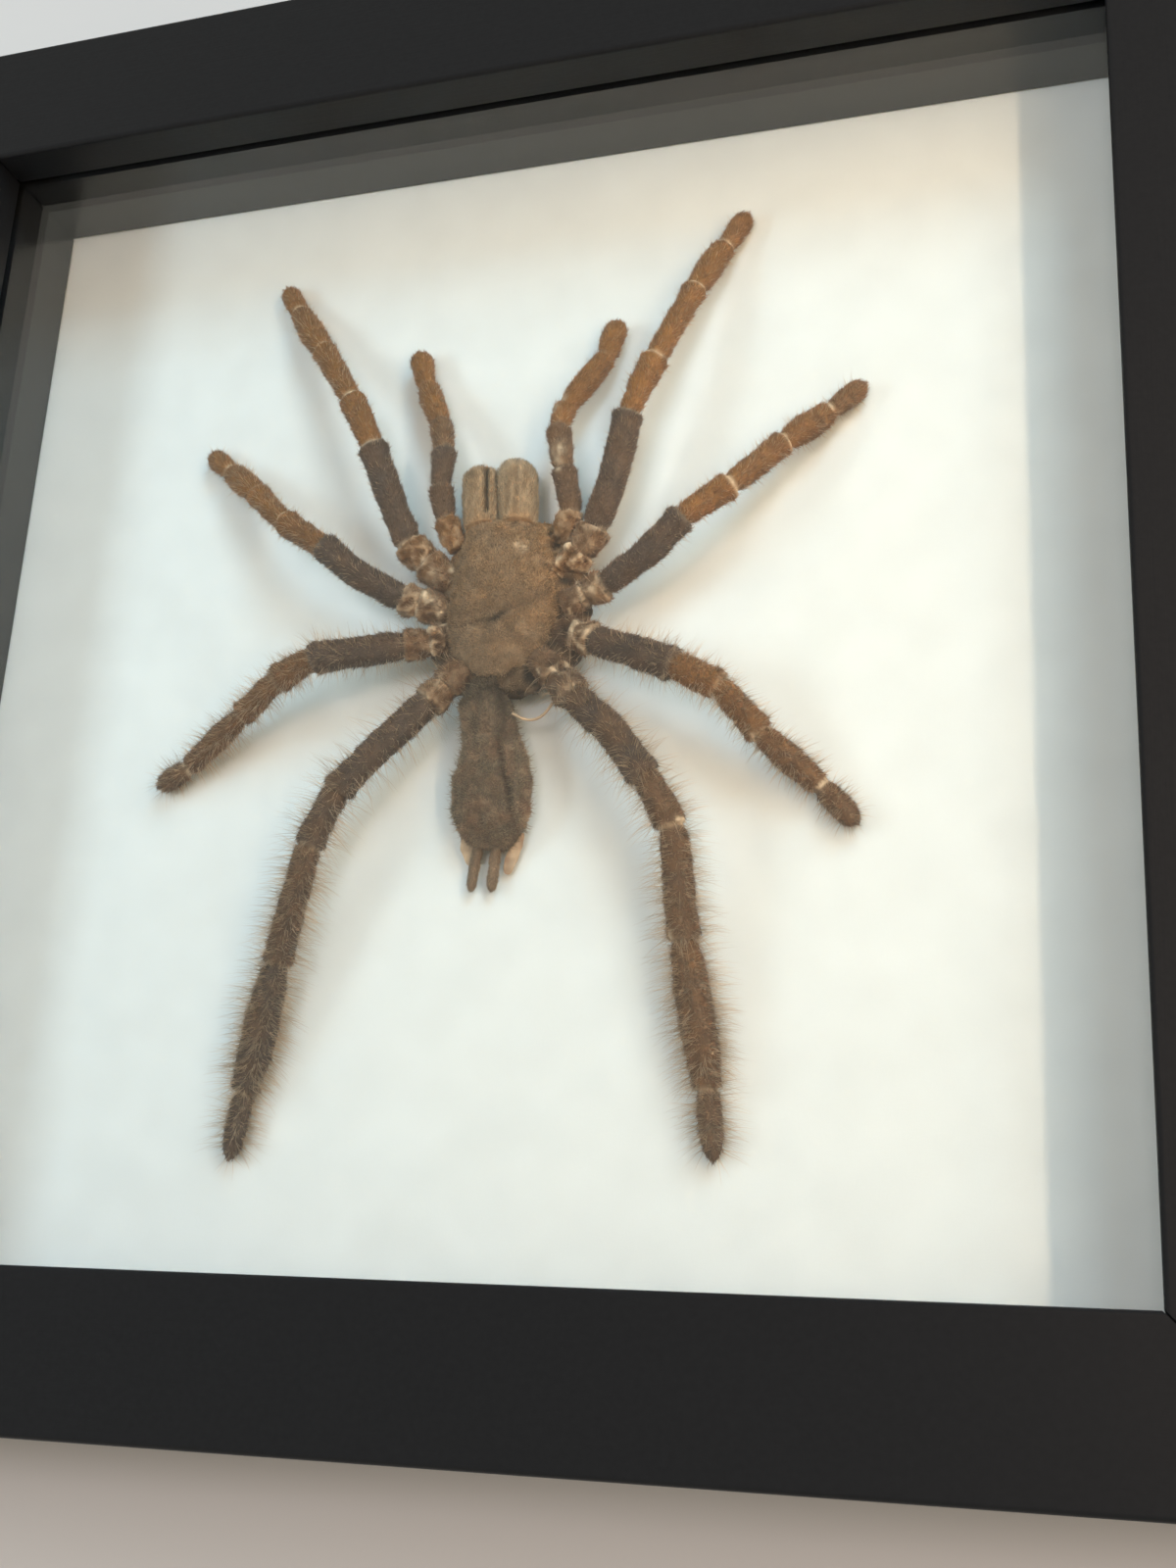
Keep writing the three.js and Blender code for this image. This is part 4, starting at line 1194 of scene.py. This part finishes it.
# Painted shade at the waist, where the abdomen meets the carapace: darker, and neither warm nor pale.
waist_shade = np.clip((plan[..., 1] + 9) / 4, 0, 1)
stain = bump_at(distance_to_line(plan, (0.4, -5), (2.6, -13)), 1.5)
abdomen_marks = {
    "warm": np.clip(0.2 + 0.3 * noise(grid, 2.0, 18) + 0.5 * right_edge, 0, 1) * (1 - waist_shade),
    "pale": np.clip(0.2 * right_edge + 0.3 * (noise(grid, 1.0, 19) - 0.3), 0, 1) * (1 - waist_shade),
    # Painted shade also darkens the long fold, the left fold and the troughs of the wrinkles.
    "dark": np.clip(0.5 * fold + 0.2 * left_fold - 0.25 * wrinkles + 0.6 * waist_shade
                    + 0.4 * stain, 0, 1),
}
make_skin("abdomen", grid, abdomen_marks, belly_skin, ["abdomen"])
chance = np.random.default_rng(500)
fuzz = grow(grid, abdomen_marks, chance, abdomen_fuzz, (0.4, 1.2), fuzz_thickness,
            lean=-0.8, spread=0.6, droop=0.3)
fringe = grow(grid, abdomen_marks, chance, abdomen_fringe, (1.2, 2.6), 0.11,
              lean=-0.3, spread=0.5, droop=0.25, rings=2)
make_hairs("abdomen", [fuzz, fringe], belly_hair)

# %% Spinnerets
spinnerets = {
    "spinneret_left": {"tip": (-4, -38.2, 1.6), "root": (-2.7, -29.6, 2.6)},
    "spinneret_right": {"tip": (-0.4, -38.4, 1.6), "root": (0.4, -29.6, 2.6)},
}
spinneret_width = 1.7  # mm
fuzz_per_spinneret = 1700
for index, (name, plan) in enumerate(spinnerets.items()):
    grid = rod(plan["tip"], plan["root"], spinneret_width, spinneret_width, 50, 28)
    grid = grid + outward(grid) * (0.16 * noise(grid, 1.1, 20))[..., None]
    ones = np.ones(grid.shape[:2])
    marks = {"warm": 0.3 * ones, "pale": 0.1 * ones, "dark": 0 * ones}
    make_skin(name, grid, marks, belly_skin, [name])
    chance = np.random.default_rng(600 + index)
    fuzz = grow(grid, marks, chance, fuzz_per_spinneret, (0.3, 0.8), 0.12, lean=1.2, spread=0.5,
                droop=0.3)
    make_hairs(name, [fuzz], belly_hair)

# %% Skin flaps and strand
flaps = {
    "skin_flap_right": {"tip": (1.9, -35.4, 1.0), "root": (4.0, -28.8, 2.4), "width": 2.1},
    "skin_flap_left": {"tip": (-4.2, -33.6, 1.0), "root": (-5.3, -28.5, 2.2), "width": 2.4},
}
flap_thickness = 0.3  # mm
for name, plan in flaps.items():
    grid = rod(plan["tip"], plan["root"], plan["width"], flap_thickness, 40, 24)
    grid[..., :2] += 0.35 * np.stack([noise(grid, 1.5, 32), noise(grid, 1.5, 33)], -1)
    grid[..., 2] += 0.4 * noise(grid * (1, 1, 0), 1.6, 34)
    ones = np.ones(grid.shape[:2])
    marks = {"warm": ones, "pale": np.clip(0.7 + 0.5 * noise(grid, 0.9, 35), 0, 1), "dark": 0 * ones}
    make_skin(name, grid, marks, belly_skin)

# The strand starts at the waist, is pulled toward the middle point and ends at the last right leg.
strand_width = 0.5  # mm
strand_rows = 40
share = np.linspace(0, 1, strand_rows)[:, None]
bends = np.array([(3.0, -9.9, 6.5), (6.8, -12.4, 4.5), (9.8, -8.6, 6.5)]) + (0, 0, board_top)
path = (1 - share) ** 2 * bends[0] + 2 * share * (1 - share) * bends[1] + share ** 2 * bends[2]
half = np.full(strand_rows, strand_width / 2)
grid = tube(path, half, half, 8)
ones = np.ones(grid.shape[:2])
marks = {"warm": ones, "pale": 0.6 * ones, "dark": 0 * ones}
make_skin("dried_strand", grid, marks, belly_skin)

# %% [markdown]
# ## Floor and light
# The frame lies on a plain pale floor. A long, narrow, warm light stands to the right and throws
# crisp shadows of edges that run along it and soft ones of all others. Cool light comes from the
# upper right, as from a window, and throws the soft shadows below the legs. A weaker light on
# the left, one overhead and an even pale surrounding fill the shadows. All but the strip light
# are hidden from mirror images and from rays through the glass, so that the pane stays clear.

# %% Floor
floor_size = 3000.0  # mm
corners = np.array([(-1, -1, 0), (1, -1, 0), (1, 1, 0), (-1, 1, 0)]) * floor_size / 2
floor_mesh = bpy.data.meshes.new("floor")
floor_mesh.from_pydata((corners * mm).tolist(), [], [(0, 1, 2, 3)])
floor = bpy.data.objects.new("floor", floor_mesh)
scene.collection.objects.link(floor)
floor_paint, tree, shader = new_finish("pale matt floor", Base_Color="#CFCBC4", Roughness=0.8)
floor_mesh.materials.append(floor_paint)

# %% Lights


def area_light(name, place, aim, width, length, watts, colour):
    """A rectangular light at a place in mm, facing another. Its length lies along Y as far as
    its facing allows."""
    data = bpy.data.lights.new(name, "AREA")
    data.shape = "RECTANGLE"
    data.size = width * mm
    data.size_y = length * mm
    data.energy = watts
    data.color = linear(colour)[:3]
    light = bpy.data.objects.new(name, data)
    scene.collection.objects.link(light)
    away = (Vector(place) - Vector(aim)).normalized()
    across = Vector((0, 1, 0)).cross(away).normalized()
    along = away.cross(across)
    turn = Matrix((across, along, away)).transposed().to_4x4()
    light.matrix_world = Matrix.Translation(Vector(place) * mm) @ turn
    return light


key = area_light("warm strip light", (222, 25, 255), (0, 25, 10), 10, 360, 0.43, "#FFDCBC")
window = area_light("cool window light", (486, 800, 800), (0, 0, 10), 450, 450, 7.6, "#AADDFF")
fill = area_light("cool light from the left", (-300, 0, 300), (-60, 0, 10), 80, 200, 0.58, "#DAEDFF")
overhead = area_light("soft light overhead", (0, 0, 1500), (0, 0, 10), 450, 450, 5.95, "#FFF1F8")
for light in (window, fill, overhead):
    light.visible_glossy = False
    light.visible_transmission = False
world = bpy.data.worlds.new("even surrounding")
world.use_nodes = True
world.node_tree.nodes["Background"].inputs["Color"].default_value = linear("#FDF9E9")
world.node_tree.nodes["Background"].inputs["Strength"].default_value = 0.42
scene.world = world
print("lights:", [light.data.energy for light in (key, window, fill, overhead)], "W")
